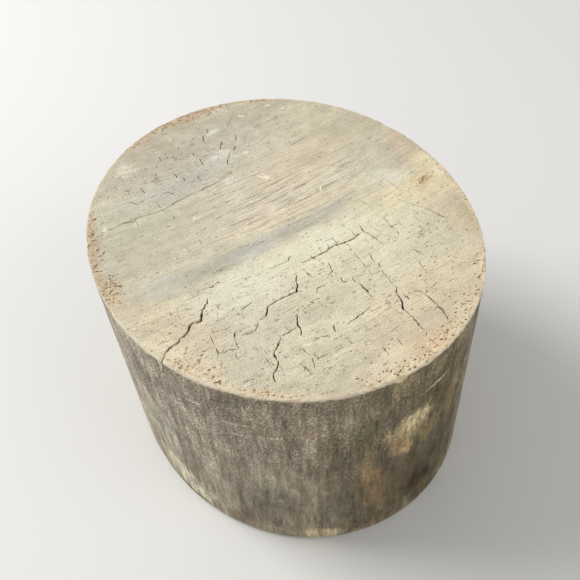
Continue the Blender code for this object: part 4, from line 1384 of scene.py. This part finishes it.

# Stains of the wall and broad washes of painted light and shade: (arc and height, half size, turn
# in degrees, softness, strength, colour)
WALL_STAINS_AND_SHADING = [
    # A broad pale wash over the left of the wall: partly paler wood, partly painted light on the
    # side the key lamp falls on
    ((190.0, 80.0), (70.0, 60.0), 0.0, 0.8, 0.75, (194, 183, 165)),
    # A broad dark wash over the front of the wall: partly handling, partly painted shade on the
    # side turned from the key lamp
    ((298.0, 58.0), (44.0, 90.0), 0.0, 0.5, 0.42, (66, 57, 42)),
    ((178.0, 38.0), (14.0, 22.0), 0.0, 0.6, 0.55, (204, 195, 175)),
    ((170.0, 70.0), (9.0, 5.0), 0.0, 0.6, 0.55, (208, 197, 178)),
    ((177.0, 87.0), (15.0, 9.0), 0.0, 0.6, 0.60, (138, 128, 110)),
    ((173.0, 56.0), (11.0, 5.5), 0.0, 0.6, 0.55, (146, 137, 118)),
    ((222.0, 52.0), (9.0, 8.0), 0.0, 0.7, 0.18, (126, 116, 100)),
    ((322.0, 100.0), (10.0, 9.0), 0.0, 0.6, 0.62, (66, 54, 33)),
    ((318.0, 30.0), (16.0, 22.0), 0.0, 0.6, 0.45, (80, 62, 26)),
    ((238.0, 108.0), (17.0, 7.0), 0.0, 0.6, 0.52, (94, 85, 70)),
    ((280.0, 107.0), (7.5, 7.0), 0.0, 0.6, 0.62, (84, 74, 54)),
    ((295.0, 108.0), (6.0, 6.0), 0.0, 0.6, 0.60, (184, 166, 130)),
    ((204.0, 96.0), (22.0, 7.0), 0.0, 0.6, 0.34, (118, 105, 90)),
    ((274.0, 94.0), (12.0, 8.0), 0.0, 0.6, 0.32, (96, 84, 60)),
    ((210.0, 109.0), (12.0, 6.0), 0.0, 0.6, 0.25, (110, 100, 84)),
    ((198.5, 87.0), (6.0, 5.0), 0.0, 0.6, 0.60, (208, 194, 174)),
    ((206.0, 70.0), (7.0, 14.0), 0.0, 0.6, 0.42, (108, 96, 80)),
    ((224.0, 79.0), (13.0, 9.0), 0.0, 0.6, 0.58, (200, 187, 164)),
    ((234.0, 64.0), (8.0, 9.0), 0.0, 0.6, 0.55, (194, 183, 162)),
    ((235.0, 36.0), (7.0, 8.0), 0.0, 0.6, 0.40, (176, 168, 148)),
    ((174.0, 36.0), (8.0, 24.0), 0.0, 0.7, 0.30, (212, 204, 186)),
    ((302.0, 8.0), (18.0, 5.0), 0.0, 0.6, 0.35, (70, 62, 44)),
    ((318.0, 94.0), (16.0, 16.0), 0.0, 0.6, 0.24, (72, 60, 36)),
    ((279.0, 78.0), (6.5, 12.0), 0.0, 0.6, 0.60, (76, 66, 44)),
    ((265.0, 43.0), (6.0, 12.0), 0.0, 0.6, 0.32, (86, 78, 60)),
    ((196.0, 35.0), (13.0, 6.0), 0.0, 0.6, 0.38, (124, 114, 100)),
    ((206.0, 24.0), (6.0, 8.0), 0.0, 0.6, 0.36, (118, 108, 92)),
    ((270.0, 8.0), (9.0, 6.0), 0.0, 0.6, 0.42, (90, 80, 64)),
    ((181.0, 60.0), (8.0, 7.0), 0.0, 0.6, 0.55, (204, 194, 174)),
    ((255.0, 100.0), (26.0, 12.0), 0.0, 0.6, 0.60, (176, 164, 142)),
    ((248.0, 62.0), (20.0, 22.0), 0.0, 0.7, 0.55, (172, 160, 140)),
    ((202.0, 40.0), (6.0, 11.0), 0.0, 0.6, 0.60, (118, 106, 90)),
    ((214.0, 101.0), (9.0, 8.0), 0.0, 0.6, 0.40, (126, 114, 98)),
    ((244.0, 86.0), (6.0, 6.0), 0.0, 0.6, 0.22, (106, 95, 79)),
    ((266.0, 62.0), (8.0, 24.0), 0.0, 0.6, 0.55, (112, 102, 86)),
    ((232.0, 24.0), (9.0, 18.0), 0.0, 0.6, 0.45, (116, 108, 94)),
    ((285.0, 45.0), (16.0, 50.0), 0.0, 0.7, 0.50, (104, 94, 74)),
    ((318.0, 45.0), (20.0, 70.0), 0.0, 0.7, 0.65, (82, 72, 49)),
    ((318.0, 86.0), (14.0, 8.0), 0.0, 0.6, 0.55, (74, 64, 44)),
    ((325.0, 58.0), (7.0, 14.0), 0.0, 0.6, 0.50, (80, 70, 50)),
    ((310.0, 36.0), (14.0, 20.0), 0.0, 0.6, 0.60, (76, 68, 48)),
    ((239.0, 46.0), (5.0, 7.0), 0.0, 0.6, 0.25, (116, 116, 104)),
    ((290.0, 60.0), (50.0, 90.0), 0.0, 0.6, 0.10, (126, 112, 44)),
    ((310.0, 66.0), (5.0, 7.0), 0.0, 0.6, 0.62, (164, 144, 102)),
    ((300.5, 76.0), (10.2, 11.0), -6.0, 0.40, 0.86, (200, 179, 136)),
    ((293.0, 63.0), (3.6, 6.0), 30.0, 0.6, 0.65, (176, 153, 115)),
    # A painted highlight on the upper part of the pale hollow patch
    ((301.5, 80.0), (7.5, 5.5), -20.0, 0.5, 0.70, (228, 211, 170)),
    ((295.6, 65.5), (2.2, 8.0), 34.0, 0.6, 0.60, (188, 152, 106)),
    ((298.4, 60.0), (1.6, 2.8), 31.0, 0.6, 0.60, (208, 180, 134)),
    ((281.5, 46.0), (5.5, 17.0), 6.0, 0.6, 0.60, (156, 128, 88)),
    ((288.0, 24.0), (5.0, 12.0), 12.0, 0.7, 0.50, (140, 116, 84)),
    ((309.0, 23.0), (9.0, 6.5), -32.0, 0.5, 0.75, (58, 44, 25)),
    ((185.0, 19.5), (18.0, 6.5), -14.0, 0.40, 0.92, (244, 234, 204)),
    ((193.0, 11.0), (10.0, 5.0), -14.0, 0.4, 0.85, (246, 236, 206)),
    ((258.5, 5.5), (11.0, 5.0), 0.0, 0.5, 0.80, (218, 202, 164)),
    ((290.0, 3.0), (18.0, 3.5), 0.0, 0.6, 0.45, (150, 132, 98)),
    ((229.0, 93.6), (8.0, 0.7), 6.0, 0.4, 0.75, (218, 206, 180)),
    ((209.0, 98.0), (6.0, 0.6), 4.0, 0.4, 0.55, (214, 202, 180)),
    ((233.0, 86.8), (12.0, 0.7), 8.0, 0.4, 0.75, (214, 202, 178)),
    ((251.0, 90.5), (5.0, 0.6), 8.0, 0.4, 0.55, (208, 196, 172)),
    ((312.0, 96.0), (7.0, 0.6), 4.0, 0.4, 0.70, (216, 200, 168)),
    ((312.0, 106.0), (4.5, 5.0), 0.0, 0.6, 0.40, (160, 140, 108)),
    ((299.0, 96.0), (3.0, 4.0), 0.0, 0.5, 0.45, (156, 126, 88)),
    ((292.6, 113.6), (2.4, 1.8), 0.0, 0.35, 0.85, (240, 228, 190)),
    ((326.0, 76.0), (4.0, 26.0), -4.0, 0.6, 0.45, (160, 140, 100)),
    ((40.0, 40.0), (30.0, 26.0), 10.0, 0.6, 0.50, (114, 102, 82)),
    ((95.0, 85.0), (26.0, 20.0), 0.0, 0.6, 0.45, (162, 148, 128)),
    ((120.0, 8.0), (24.0, 6.0), 0.0, 0.5, 0.60, (206, 192, 158)),
    ((140.0, 60.0), (14.0, 30.0), 0.0, 0.7, 0.50, (166, 154, 134)),
    ((390.0, 60.0), (30.0, 34.0), 0.0, 0.6, 0.50, (116, 100, 78)),
    ((360.0, 24.0), (10.0, 16.0), 8.0, 0.6, 0.50, (150, 122, 86)),
    ((430.0, 95.0), (22.0, 13.0), 0.0, 0.5, 0.50, (94, 82, 64)),
    ((455.0, 30.0), (16.0, 20.0), -10.0, 0.5, 0.45, (160, 130, 92)),
    ((500.0, 70.0), (26.0, 34.0), 0.0, 0.6, 0.50, (150, 138, 118)),
    ((520.0, 7.0), (30.0, 5.0), 0.0, 0.5, 0.55, (200, 186, 152)),
    ((555.0, 100.0), (30.0, 14.0), 0.0, 0.6, 0.45, (104, 94, 76)),
]


def stain_mask(graph, place, ragged, centre, half, turn=0.0, softness=0.6):
    """Where one stain lies. Its sizes are in millimetres, its turn in degrees."""
    return graph.group(
        STAIN, place=place, centre=(centre[0] * MM, centre[1] * MM, 0.0),
        half_size=(half[0] * MM, half[1] * MM, 1.0), turn=-math.radians(turn),
        softness=softness, ragged=ragged)[0]


def stained(graph, colour, place, ragged, stains):
    """Lays a list of stains over a colour, one after another. The wall's list also holds broad
    painted light and shade.
    """
    for centre, half, turn, softness, strength, shade in stains:
        mask = stain_mask(graph, place, ragged, centre, half, turn, softness)
        colour = graph.laid(colour, mask, strength, tint(*shade))
    return colour


def new_material(name, **fixed):
    """A material with its Principled BSDF, whose plain values are set on its own sockets."""
    material = bpy.data.materials.new(name)
    material.use_nodes = True
    shader = material.node_tree.nodes["Principled BSDF"].inputs
    for label, value in fixed.items():
        shader[label.replace("_", " ")].default_value = value
    return material, Graph(material.node_tree), shader


def end_grain_material():
    """The crown and the underside: bleached end grain with its growth rings."""
    material, graph, shader = new_material("weathered_end_grain", Specular_IOR_Level=0.2)
    place = object_place(graph)
    rings = ring_place(graph, place)
    fine, coarse, broad = graph.group(
        LINES, place=rings, stretch=(0.034, 1.0, 0.3), fine=2100.0, coarse=1450.0, broad=130.0)
    mottle = graph.noise(place, 110.0, 4.0, 0.6)
    grit = graph.noise(place, 2000.0, 3.0, 0.8)
    front = graph.between(graph.split(place)[1], 0.0, -35.0 * MM)
    drawn = graph.vector("MULTIPLY", rings, (0.3, 1.0, 1.0))
    ragged = graph.math("MULTIPLY_ADD", graph.noise(drawn, 170.0, 4.0, 0.65), 2.4, -1.9)
    ragged = graph.math("MULTIPLY_ADD", coarse, 1.4, ragged)

    colour = graph.mix(graph.between(broad, 0.3, 0.7), tint(206, 197, 173), tint(218, 208, 181))
    colour = graph.mix(graph.between(mottle, 0.40, 0.68, 0.0, 0.5), colour, tint(192, 180, 158))
    colour = stained(graph, colour, place, ragged, CROWN_STAINS)
    blotches = graph.noise(graph.vector("MULTIPLY", rings, (0.8, 1.0, 1.0)), 180.0, 4.0, 0.7)
    colour = graph.shaded(colour, blotches, 0.30)

    lined = stain_mask(graph, place, ragged, (6.0, 14.0), (38.0, 19.0), 8.0)
    dark_share = graph.math("MULTIPLY_ADD", lined, 0.50, 0.16)
    dark_share = graph.math("MULTIPLY_ADD", front, -0.08, dark_share)
    light_share = graph.math("MULTIPLY_ADD", lined, 0.25, 0.20)
    wide_lines, thin_lines = graph.between(coarse, 0.54, 0.64), graph.between(fine, 0.56, 0.66)
    colour = graph.laid(colour, wide_lines, dark_share, tint(142, 120, 98))
    colour = graph.laid(colour, thin_lines, dark_share, tint(128, 110, 90))
    light_lines = graph.between(coarse, 0.43, 0.32)
    colour = graph.laid(colour, light_lines, light_share, tint(240, 230, 202))

    brittle = attribute(graph, "brittle")
    brittle = graph.math("MULTIPLY_ADD", graph.math("SUBTRACT", mottle, 0.5), 1.8, brittle)
    brittle = graph.math("MULTIPLY_ADD", graph.math("SUBTRACT", coarse, 0.5), 1.4, brittle)
    band = graph.between(brittle, 0.1, 0.9)
    earth = graph.mix(front, tint(206, 180, 144), tint(243, 226, 192))
    colour = graph.laid(colour, band, 0.55, earth)
    near_rim = graph.math("MULTIPLY_ADD", mottle, 6.0, attribute(graph, "rim"))
    near_rim = graph.between(near_rim, 6.5, 2.5)
    rim_shade = graph.mix(front, tint(202, 178, 146), tint(232, 210, 174))
    colour = graph.laid(colour, near_rim, 0.28, rim_shade)

    colour = graph.shaded(colour, grit, graph.math("MULTIPLY_ADD", front, -0.10, 1.10))
    pores = graph.group(
        FLECKS, place=graph.vector("MULTIPLY", rings, (0.5, 1.0, 1.0)), scale=620.0,
        share=graph.math("MULTIPLY_ADD", band, 0.25, 0.22), size=0.26)[0]
    colour = graph.laid(colour, pores, 0.45, tint(122, 100, 78))
    peppered = stain_mask(graph, place, ragged, (-34.0, 54.0), (34.0, 20.0), softness=0.8)
    clumps = graph.between(graph.noise(place, 120.0, 3.0, 0.6), 0.46, 0.66)
    crumb_share = graph.math("MULTIPLY", front, graph.math("MULTIPLY_ADD", clumps, 0.50, 0.16))
    crumb_share = graph.math("ADD", crumb_share, 0.06)
    crumbs = graph.group(
        FLECKS, place=graph.vector("MULTIPLY", rings, (0.55, 1.0, 1.0)), scale=900.0,
        share=graph.math("MULTIPLY_ADD", peppered, 0.30, crumb_share), size=0.28)[0]
    colour = graph.laid(colour, crumbs, 0.70, tint(122, 94, 64))
    chalk = graph.group(FLECKS, place=place, scale=430.0, share=0.15, size=0.21)[0]
    colour = graph.laid(colour, chalk, 0.65, tint(246, 241, 222))
    # A pale line along the rim: partly wear, partly a painted highlight
    worn_edge_and_highlight = graph.group(WORN_EDGE_AND_HIGHLIGHT, place=place, reach=3.1)[0]
    colour = graph.laid(colour, worn_edge_and_highlight, 0.70, tint(236, 226, 204))

    bared = graph.between(attribute(graph, "nick"), 0.05, 0.5)
    colour = graph.laid(colour, bared, 0.85, tint(250, 243, 218))
    near = attribute(graph, "near")
    # A pale painted highlight along the lips of the wider checks
    colour = graph.laid(colour, graph.between(near, 0.5, 0.95), 0.18, tint(248, 242, 222))
    dusty = graph.between(graph.math("MULTIPLY_ADD", grit, 2.4, near), 2.15, 2.50)
    colour = graph.laid(colour, dusty, 0.45, tint(128, 98, 66))
    checks, pits, crumbled = graph.group(GRIME_AND_SHADE)
    crumb_shade = graph.mix(front, tint(164, 130, 96), tint(206, 164, 118))
    colour = graph.laid(colour, crumbled, 0.50, crumb_shade)
    # Pits and checks painted dark: partly grime, partly painted shade in their hollows
    colour = graph.laid(colour, pits, 0.80, tint(122, 88, 56))
    colour = graph.laid(colour, checks, 0.94, tint(58, 42, 28))
    graph.put(colour, shader["Base Color"])
    graph.put(graph.between(grit, 0.3, 0.7, 0.78, 0.96), shader["Roughness"])

    relief = graph.weighed((fine, -0.7), (grit, -1.5), (coarse, -1.0), (pores, -0.8))
    graph.put(graph.bumped(relief, 0.75, 0.35), shader["Normal"])
    return material


def long_grain_material():
    """The wall: long grain, darkened by handling, with streaks along its fibre and rasp marks, and
    broad painted light on its left and painted shade on its front.
    """
    material, graph, shader = new_material("handled_long_grain", Specular_IOR_Level=0.25)
    place = object_place(graph)
    unrolled = graph.add("ShaderNodeUVMap", (), uv_map="unrolled")
    fine, coarse, broad = graph.group(
        LINES, place=place, stretch=(1.0, 1.0, 0.13), fine=1100.0, coarse=400.0, broad=125.0)
    mottle = graph.noise(graph.vector("MULTIPLY", place, (1.0, 1.0, 0.6)), 70.0, 5.0, 0.62)
    grit = graph.noise(place, 1500.0, 3.0, 0.75)
    drawn = graph.vector("MULTIPLY", place, (1.0, 1.0, 0.5))
    ragged = graph.math("MULTIPLY_ADD", graph.noise(drawn, 150.0, 4.0, 0.68), 2.0, -1.0)

    colour = graph.mix(graph.between(broad, 0.3, 0.7), tint(142, 131, 111), tint(160, 149, 127))
    # Stains, with a broad painted light over the left of the wall and a broad painted shade over
    # its front
    colour = stained(graph, colour, unrolled, ragged, WALL_STAINS_AND_SHADING)
    patches = graph.noise(graph.vector("MULTIPLY", place, (1.0, 1.0, 0.5)), 210.0, 3.0, 0.6)
    colour = graph.shaded(colour, mottle, 0.85)
    colour = graph.shaded(colour, broad, 0.42)
    colour = graph.shaded(colour, patches, 0.75)
    colour = graph.shaded(colour, coarse, 0.90)
    colour = graph.shaded(colour, fine, 0.40)
    colour = graph.laid(colour, graph.between(coarse, 0.60, 0.72), 0.30, tint(114, 86, 68))
    tone = graph.noise(graph.vector("MULTIPLY", place, (1.0, 1.0, 0.5)), 48.0, 4.0, 0.6)
    colour = graph.laid(colour, graph.between(tone, 0.50, 0.64), 0.32, tint(126, 101, 82))
    colour = graph.laid(colour, graph.between(tone, 0.48, 0.36), 0.22, tint(142, 137, 116))

    turned = graph.turned(unrolled, -math.radians(62.0))
    marks = graph.noise(graph.vector("MULTIPLY", turned, (0.5, 1.0, 1.0)), 1150.0, 3.0, 0.75)
    height = graph.split(unrolled)[1]
    upper = graph.between(height, 30.0 * MM, 90.0 * MM)
    colour = graph.shaded(colour, marks, graph.math("MULTIPLY_ADD", upper, 1.10, 0.66))
    colour = graph.shaded(colour, grit, graph.math("MULTIPLY_ADD", upper, 0.60, 0.70))
    flecks = graph.group(
        FLECKS, place=graph.vector("MULTIPLY", turned, (0.4, 1.0, 1.0)), scale=560.0,
        share=graph.math("MULTIPLY_ADD", upper, 0.20, 0.06), size=0.20)[0]
    colour = graph.laid(colour, flecks, 0.60, tint(206, 194, 170))
    pores = graph.group(
        FLECKS, place=graph.vector("MULTIPLY", place, (1.0, 1.0, 0.4)), scale=610.0,
        share=0.22, size=0.20)[0]
    colour = graph.laid(colour, pores, 0.40, tint(66, 54, 42))

    foot_reach = graph.noise(place, 45.0, 4.0, 0.6)
    foot_reach = graph.math("MULTIPLY_ADD", foot_reach, 14.0 * MM, -5.8 * MM)
    foot = graph.between(graph.math("SUBTRACT", height, foot_reach), 1.0 * MM, -0.8 * MM)
    colour = graph.laid(colour, foot, 0.45, tint(196, 180, 146))
    # A pale band under the rim: partly wear, partly a painted highlight
    worn_edge_and_highlight = graph.group(WORN_EDGE_AND_HIGHLIGHT, place=place, reach=3.0)[0]
    colour = graph.laid(colour, worn_edge_and_highlight, 0.65, tint(206, 193, 168))
    checks, _, crumbled = graph.group(GRIME_AND_SHADE)
    colour = graph.laid(colour, crumbled, 0.5, tint(130, 100, 72))
    # The splits painted near black inside: partly grime, partly painted shade
    colour = graph.laid(colour, checks, 0.9, tint(52, 40, 30))
    graph.put(colour, shader["Base Color"])
    graph.put(graph.between(mottle, 0.3, 0.7, 0.66, 0.84), shader["Roughness"])

    relief = graph.weighed((fine, 1.0), (grit, 1.2), (marks, 0.9), (pores, -0.5))
    graph.put(graph.bumped(relief, 0.8, 0.4), shader["Normal"])
    return material


def metal_material(name, colour, dark, rust, rust_share, roughness, turned_marks):
    """Old metal: its own colour, darker where dull, with rust in patches and pitting."""
    material, graph, shader = new_material(name, Specular_IOR_Level=0.5)
    place = object_place(graph)
    dull, grit, rusted, turning = graph.group(RUST, place=place, share=rust_share)
    shade = graph.mix(graph.between(dull, 0.35, 0.65), colour, dark)
    shade = graph.laid(shade, rusted, 1.0, rust)
    shade = graph.laid(shade, graph.between(grit, 0.55, 0.75), 0.5, dark)
    pitted = graph.group(FLECKS, place=place, scale=480.0, share=0.3, size=0.3)[0]
    shade = graph.laid(shade, pitted, 0.5, dark)
    graph.put(shade, shader["Base Color"])
    graph.put(graph.between(rusted, 0.0, 1.0, 0.95, 0.05), shader["Metallic"])
    graph.put(graph.between(rusted, 0.0, 1.0, roughness, 0.9), shader["Roughness"])
    relief = graph.weighed((grit, 0.6), (rusted, 0.5), (pitted, -0.7), (turning, turned_marks))
    graph.put(graph.bumped(relief, 0.5, 0.15), shader["Normal"])
    return material


def new_piece(name, data):
    """A new object in the scene."""
    piece = bpy.data.objects.new(name, data)
    bpy.context.scene.collection.objects.link(piece)
    return piece


def finished(piece, nodes, sharp):
    """Smooth shading with sharp corners, then the piece's place in the frame."""
    piece.data.shade_smooth()
    piece.data.set_sharp_from_angle(angle=sharp)
    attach(piece, BODY)
    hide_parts(*nodes)


def wooden_block():
    """The wood, which stands for its plain solid."""
    shell = Shell()
    foot_ring, rim_ring = build_wall(shell)
    build_crown(shell, rim_ring)
    build_underside(shell, foot_ring)
    piece = new_piece("weathered_block", shell.mesh("weathered_block"))
    hollow_x, hollow_y, _, _ = OUTLINE.at(HOLLOW_PLACE[0])
    run_tree(
        piece, weathering_tree(), end_grain=end_grain_material(), long_grain=long_grain_material(),
        hollow_place=(hollow_x * MM, hollow_y * MM, HOLLOW_PLACE[1] * MM))
    finished(piece, ["crown_block"], WOOD_SHARP)


def lathed(name, section, steps, closed):
    """A turned piece: its section, as (radius, height) in millimetres, spun round the axis."""
    shape = bmesh.new()
    rings = []
    for radius, height in section:
        places = circle(radius, steps) if radius > 0.0 else [(0.0, 0.0)]
        rings.append([shape.verts.new((x * MM, y * MM, height * MM)) for x, y in places])
    for lower, upper in list(zip(rings, rings[1:])) + ([(rings[-1], rings[0])] if closed else []):
        for step in range(steps):
            ahead = (step + 1) % steps
            corners = [lower[step % len(lower)], lower[ahead % len(lower)],
                       upper[ahead % len(upper)], upper[step % len(upper)]]
            shape.faces.new(list(dict.fromkeys(corners)))
    bmesh.ops.recalc_face_normals(shape, faces=shape.faces[:])
    mesh = bpy.data.meshes.new(name)
    shape.to_mesh(mesh)
    shape.free()
    return new_piece(name, mesh)


def cut(piece, cutters):
    """Takes the cutters out of a piece."""
    for cutter in cutters:
        modifier = piece.modifiers.new("cut", "BOOLEAN")
        modifier.operation = "DIFFERENCE"
        modifier.solver = "EXACT"
        modifier.object = cutter
    plain(piece)
    for cutter in cutters:
        bpy.data.objects.remove(cutter)
    shape = bmesh.new()
    shape.from_mesh(piece.data)
    bmesh.ops.remove_doubles(shape, verts=shape.verts[:], dist=WELD)
    shape.to_mesh(piece.data)
    shape.free()
    return piece


def round_corner(centre, radius, start):
    """Points of a section round a quarter of a corner, from an angle in degrees."""
    shares = [step / CORNER_STEPS for step in range(CORNER_STEPS + 1)]
    turns = [math.radians(start + 90.0 * share) for share in shares]
    return [(centre[0] + radius * math.cos(turn), centre[1] + radius * math.sin(turn))
            for turn in turns]


def screw_section(grown=0.0, foot=0.0):
    """The section of a countersunk screw whose head's face is at height 0."""
    head, shank = SCREW_HEAD_RADIUS + grown, SHANK_RADIUS + grown
    length = SCREW_TIP - SCREW_FACE
    if grown:
        face = [(head, foot)]
    else:
        face = [(head + further, height) for further, height in SCREW_HEAD_EDGE]
    return [(0.0, foot)] + face + [
        (head, SCREW_HEAD_RIM), (shank, SCREW_HEAD_HEIGHT + grown), (shank, length - TIP_LENGTH),
        (0.0, length + grown)]


def slot_cutter():
    """The bar that cuts the slot of a screw's head."""
    shape = bmesh.new()
    bmesh.ops.create_cube(shape, size=1.0)
    size = Vector((SLOT_WIDTH, 3.0 * SCREW_HEAD_RADIUS, 2.0 * SLOT_DEPTH)) * MM
    bmesh.ops.scale(shape, vec=size, verts=shape.verts[:])
    mesh = bpy.data.meshes.new("slot")
    shape.to_mesh(mesh)
    shape.free()
    return new_piece("slot_cutter", mesh)


def build_socket():
    """The plate, the sleeve and the screws, rounder and finer than their plain solids."""
    face = round_corner((PLATE_RADIUS - PLATE_EDGE, PLATE_FACE + PLATE_EDGE), PLATE_EDGE, 270.0)
    mouth = round_corner(
        (BORE_RADIUS + PLATE_MOUTH_EDGE, PLATE_FACE + PLATE_MOUTH_EDGE), PLATE_MOUTH_EDGE, 180.0)
    section = [(BORE_RADIUS, PLATE_BACK)] + mouth + face + [(PLATE_RADIUS, PLATE_BACK)]
    plate = lathed("iron_plate", section, PLATE_POINTS, closed=True)
    holes = []
    for x, y in screw_places():
        grown = screw_section(GAP, -CUTTER_REACH)
        hole = lathed("hole_cutter", grown, SCREW_POINTS, closed=False)
        hole.location = (x * MM, y * MM, SCREW_FACE * MM)
        holes.append(hole)
    cut(plate, holes)
    plate.data.materials.append(metal_material(
        "rusted_iron", tint(98, 92, 86), dark=tint(58, 52, 48), rust=tint(112, 78, 54),
        rust_share=0.30, roughness=0.5, turned_marks=0.25))
    finished(plate, ["socket_plate"], METAL_SHARP)

    section = [
        (BORE_RADIUS + LEAD_IN, SLEEVE_FOOT), (SLEEVE_RADIUS - SLEEVE_EDGE, SLEEVE_FOOT),
        (SLEEVE_RADIUS, SLEEVE_FOOT + SLEEVE_EDGE), (SLEEVE_RADIUS, SLEEVE_TOP - SLEEVE_EDGE),
        (SLEEVE_RADIUS - SLEEVE_EDGE, SLEEVE_TOP), (BORE_RADIUS + SLEEVE_EDGE, SLEEVE_TOP),
        (BORE_RADIUS, SLEEVE_TOP - SLEEVE_EDGE), (BORE_RADIUS, SLEEVE_FOOT + LEAD_IN)]
    sleeve = lathed("steel_sleeve", section, SLEEVE_POINTS, closed=True)
    sleeve.data.materials.append(metal_material(
        "dull_steel", tint(176, 174, 170), dark=tint(120, 116, 110), rust=tint(120, 78, 50),
        rust_share=0.22, roughness=0.35, turned_marks=0.9))
    finished(sleeve, ["spindle_sleeve"], METAL_SHARP)

    screw = lathed("slotted_screws", screw_section(), SCREW_POINTS, closed=False)
    screws = cut(screw, [slot_cutter()])
    finish = metal_material(
        "tarnished_steel", tint(150, 142, 130), dark=tint(88, 78, 68), rust=tint(116, 74, 46),
        rust_share=0.30, roughness=0.4, turned_marks=0.0)
    screws.data.materials.append(finish)
    run_tree(screws, screw_ring_tree(), finish=finish)
    names = [f"plate_screw_{number}" for number in range(1, SCREW_COUNT + 1)]
    finished(screws, names, METAL_SHARP)


# The stage
FLOOR_HALF = 4.0
FLOOR_COLOUR = tint(226, 225, 222)
FLOOR_FADE = (0.45, 1.9)
BACKDROP = 0.78
CAMERA_AZIMUTH = math.radians(-21.87)
CAMERA_ELEVATION = math.radians(47.0)
CAMERA_ROLL = math.radians(-5.02)
CAMERA_DISTANCE = 0.39446
CAMERA_AIM = (0.00269, 0.04564)
CAMERA_LENS = 43.38
CAMERA_SENSOR = 36.0


def seen_rays(graph):
    """One for the rays that show the stage to the camera, straight or by a reflection."""
    rays = graph.add("ShaderNodeLightPath", (), None)
    mirrored = graph.math("MAXIMUM", rays["Is Glossy Ray"], rays["Is Transmission Ray"])
    return graph.math("MAXIMUM", rays["Is Camera Ray"], mirrored)


def floor_material():
    """A plain pale floor, which looks as pale as the backdrop where it is far from the block."""
    material, graph, _ = new_material("pale_floor", Base_Color=FLOOR_COLOUR, Roughness=0.8)
    nodes = material.node_tree.nodes
    away = graph.vector("LENGTH", object_place(graph))
    far = graph.between(away, FLOOR_FADE[0], FLOOR_FADE[1])
    share = graph.math("MULTIPLY", far, seen_rays(graph))
    glow = graph.add("ShaderNodeEmission", [(1.0, 1.0, 1.0, 1.0), BACKDROP])
    faded = graph.add("ShaderNodeMixShader", [share, nodes["Principled BSDF"].outputs[0], glow])
    graph.put(faded, nodes["Material Output"].inputs["Surface"])
    return material


def build_floor():
    """The floor under the block."""
    mesh = bpy.data.meshes.new("floor")
    corners = [(-FLOOR_HALF, -FLOOR_HALF, 0.0), (FLOOR_HALF, -FLOOR_HALF, 0.0),
               (FLOOR_HALF, FLOOR_HALF, 0.0), (-FLOOR_HALF, FLOOR_HALF, 0.0)]
    mesh.from_pydata(corners, [], [(0, 1, 2, 3)])
    floor = new_piece("floor", mesh)
    mesh.materials.append(floor_material())


def build_world(light):
    """Soft light from all round, and the paler backdrop that the camera and the metal see."""
    world = bpy.data.worlds.new("studio")
    bpy.context.scene.world = world
    world.use_nodes = True
    graph = Graph(world.node_tree)
    background = world.node_tree.nodes["Background"].inputs
    background["Color"].default_value = (1.0, 1.0, 1.0, 1.0)
    graph.put(graph.between(seen_rays(graph), 0.0, 1.0, light, BACKDROP), background["Strength"])


def build_lamp(name, place, size, power):
    """A soft square lamp that looks at the block."""
    light = bpy.data.lights.new(name, "AREA")
    light.size = size
    light.energy = power
    lamp = new_piece(name, light)
    lamp.location = place
    aim = Vector((0.0, 0.0, HEIGHT * MM / 2.0)) - Vector(place)
    lamp.rotation_euler = aim.to_track_quat("-Z", "Y").to_euler()


def build_camera():
    """The photograph's viewing angle: the camera looks down on the front, a bit from the left."""
    ahead = Vector((
        -math.sin(CAMERA_AZIMUTH) * math.cos(CAMERA_ELEVATION),
        math.cos(CAMERA_AZIMUTH) * math.cos(CAMERA_ELEVATION), -math.sin(CAMERA_ELEVATION)))
    right = Vector((math.cos(CAMERA_AZIMUTH), math.sin(CAMERA_AZIMUTH), 0.0))
    up = right.cross(ahead)
    place = -CAMERA_DISTANCE * ahead + CAMERA_AIM[0] * right + CAMERA_AIM[1] * up
    level = Matrix((right, up, -ahead)).transposed()
    rolled = level @ Matrix.Rotation(CAMERA_ROLL, 3, "Z")
    lens = bpy.data.cameras.new("camera")
    lens.lens = CAMERA_LENS
    lens.sensor_width = CAMERA_SENSOR
    camera = new_piece("camera", lens)
    camera.matrix_world = Matrix.Translation(place) @ rolled.to_4x4()
    bpy.context.scene.camera = camera


build_camera()
wooden_block()
build_socket()
build_floor()
build_world(light=0.45)
build_lamp("key", place=(-0.9, 0.9, 1.3), size=0.9, power=26.0)
build_lamp("fill", place=(0.9, -1.2, 0.9), size=1.2, power=6.0)
bpy.context.scene.view_settings.view_transform = "Standard"
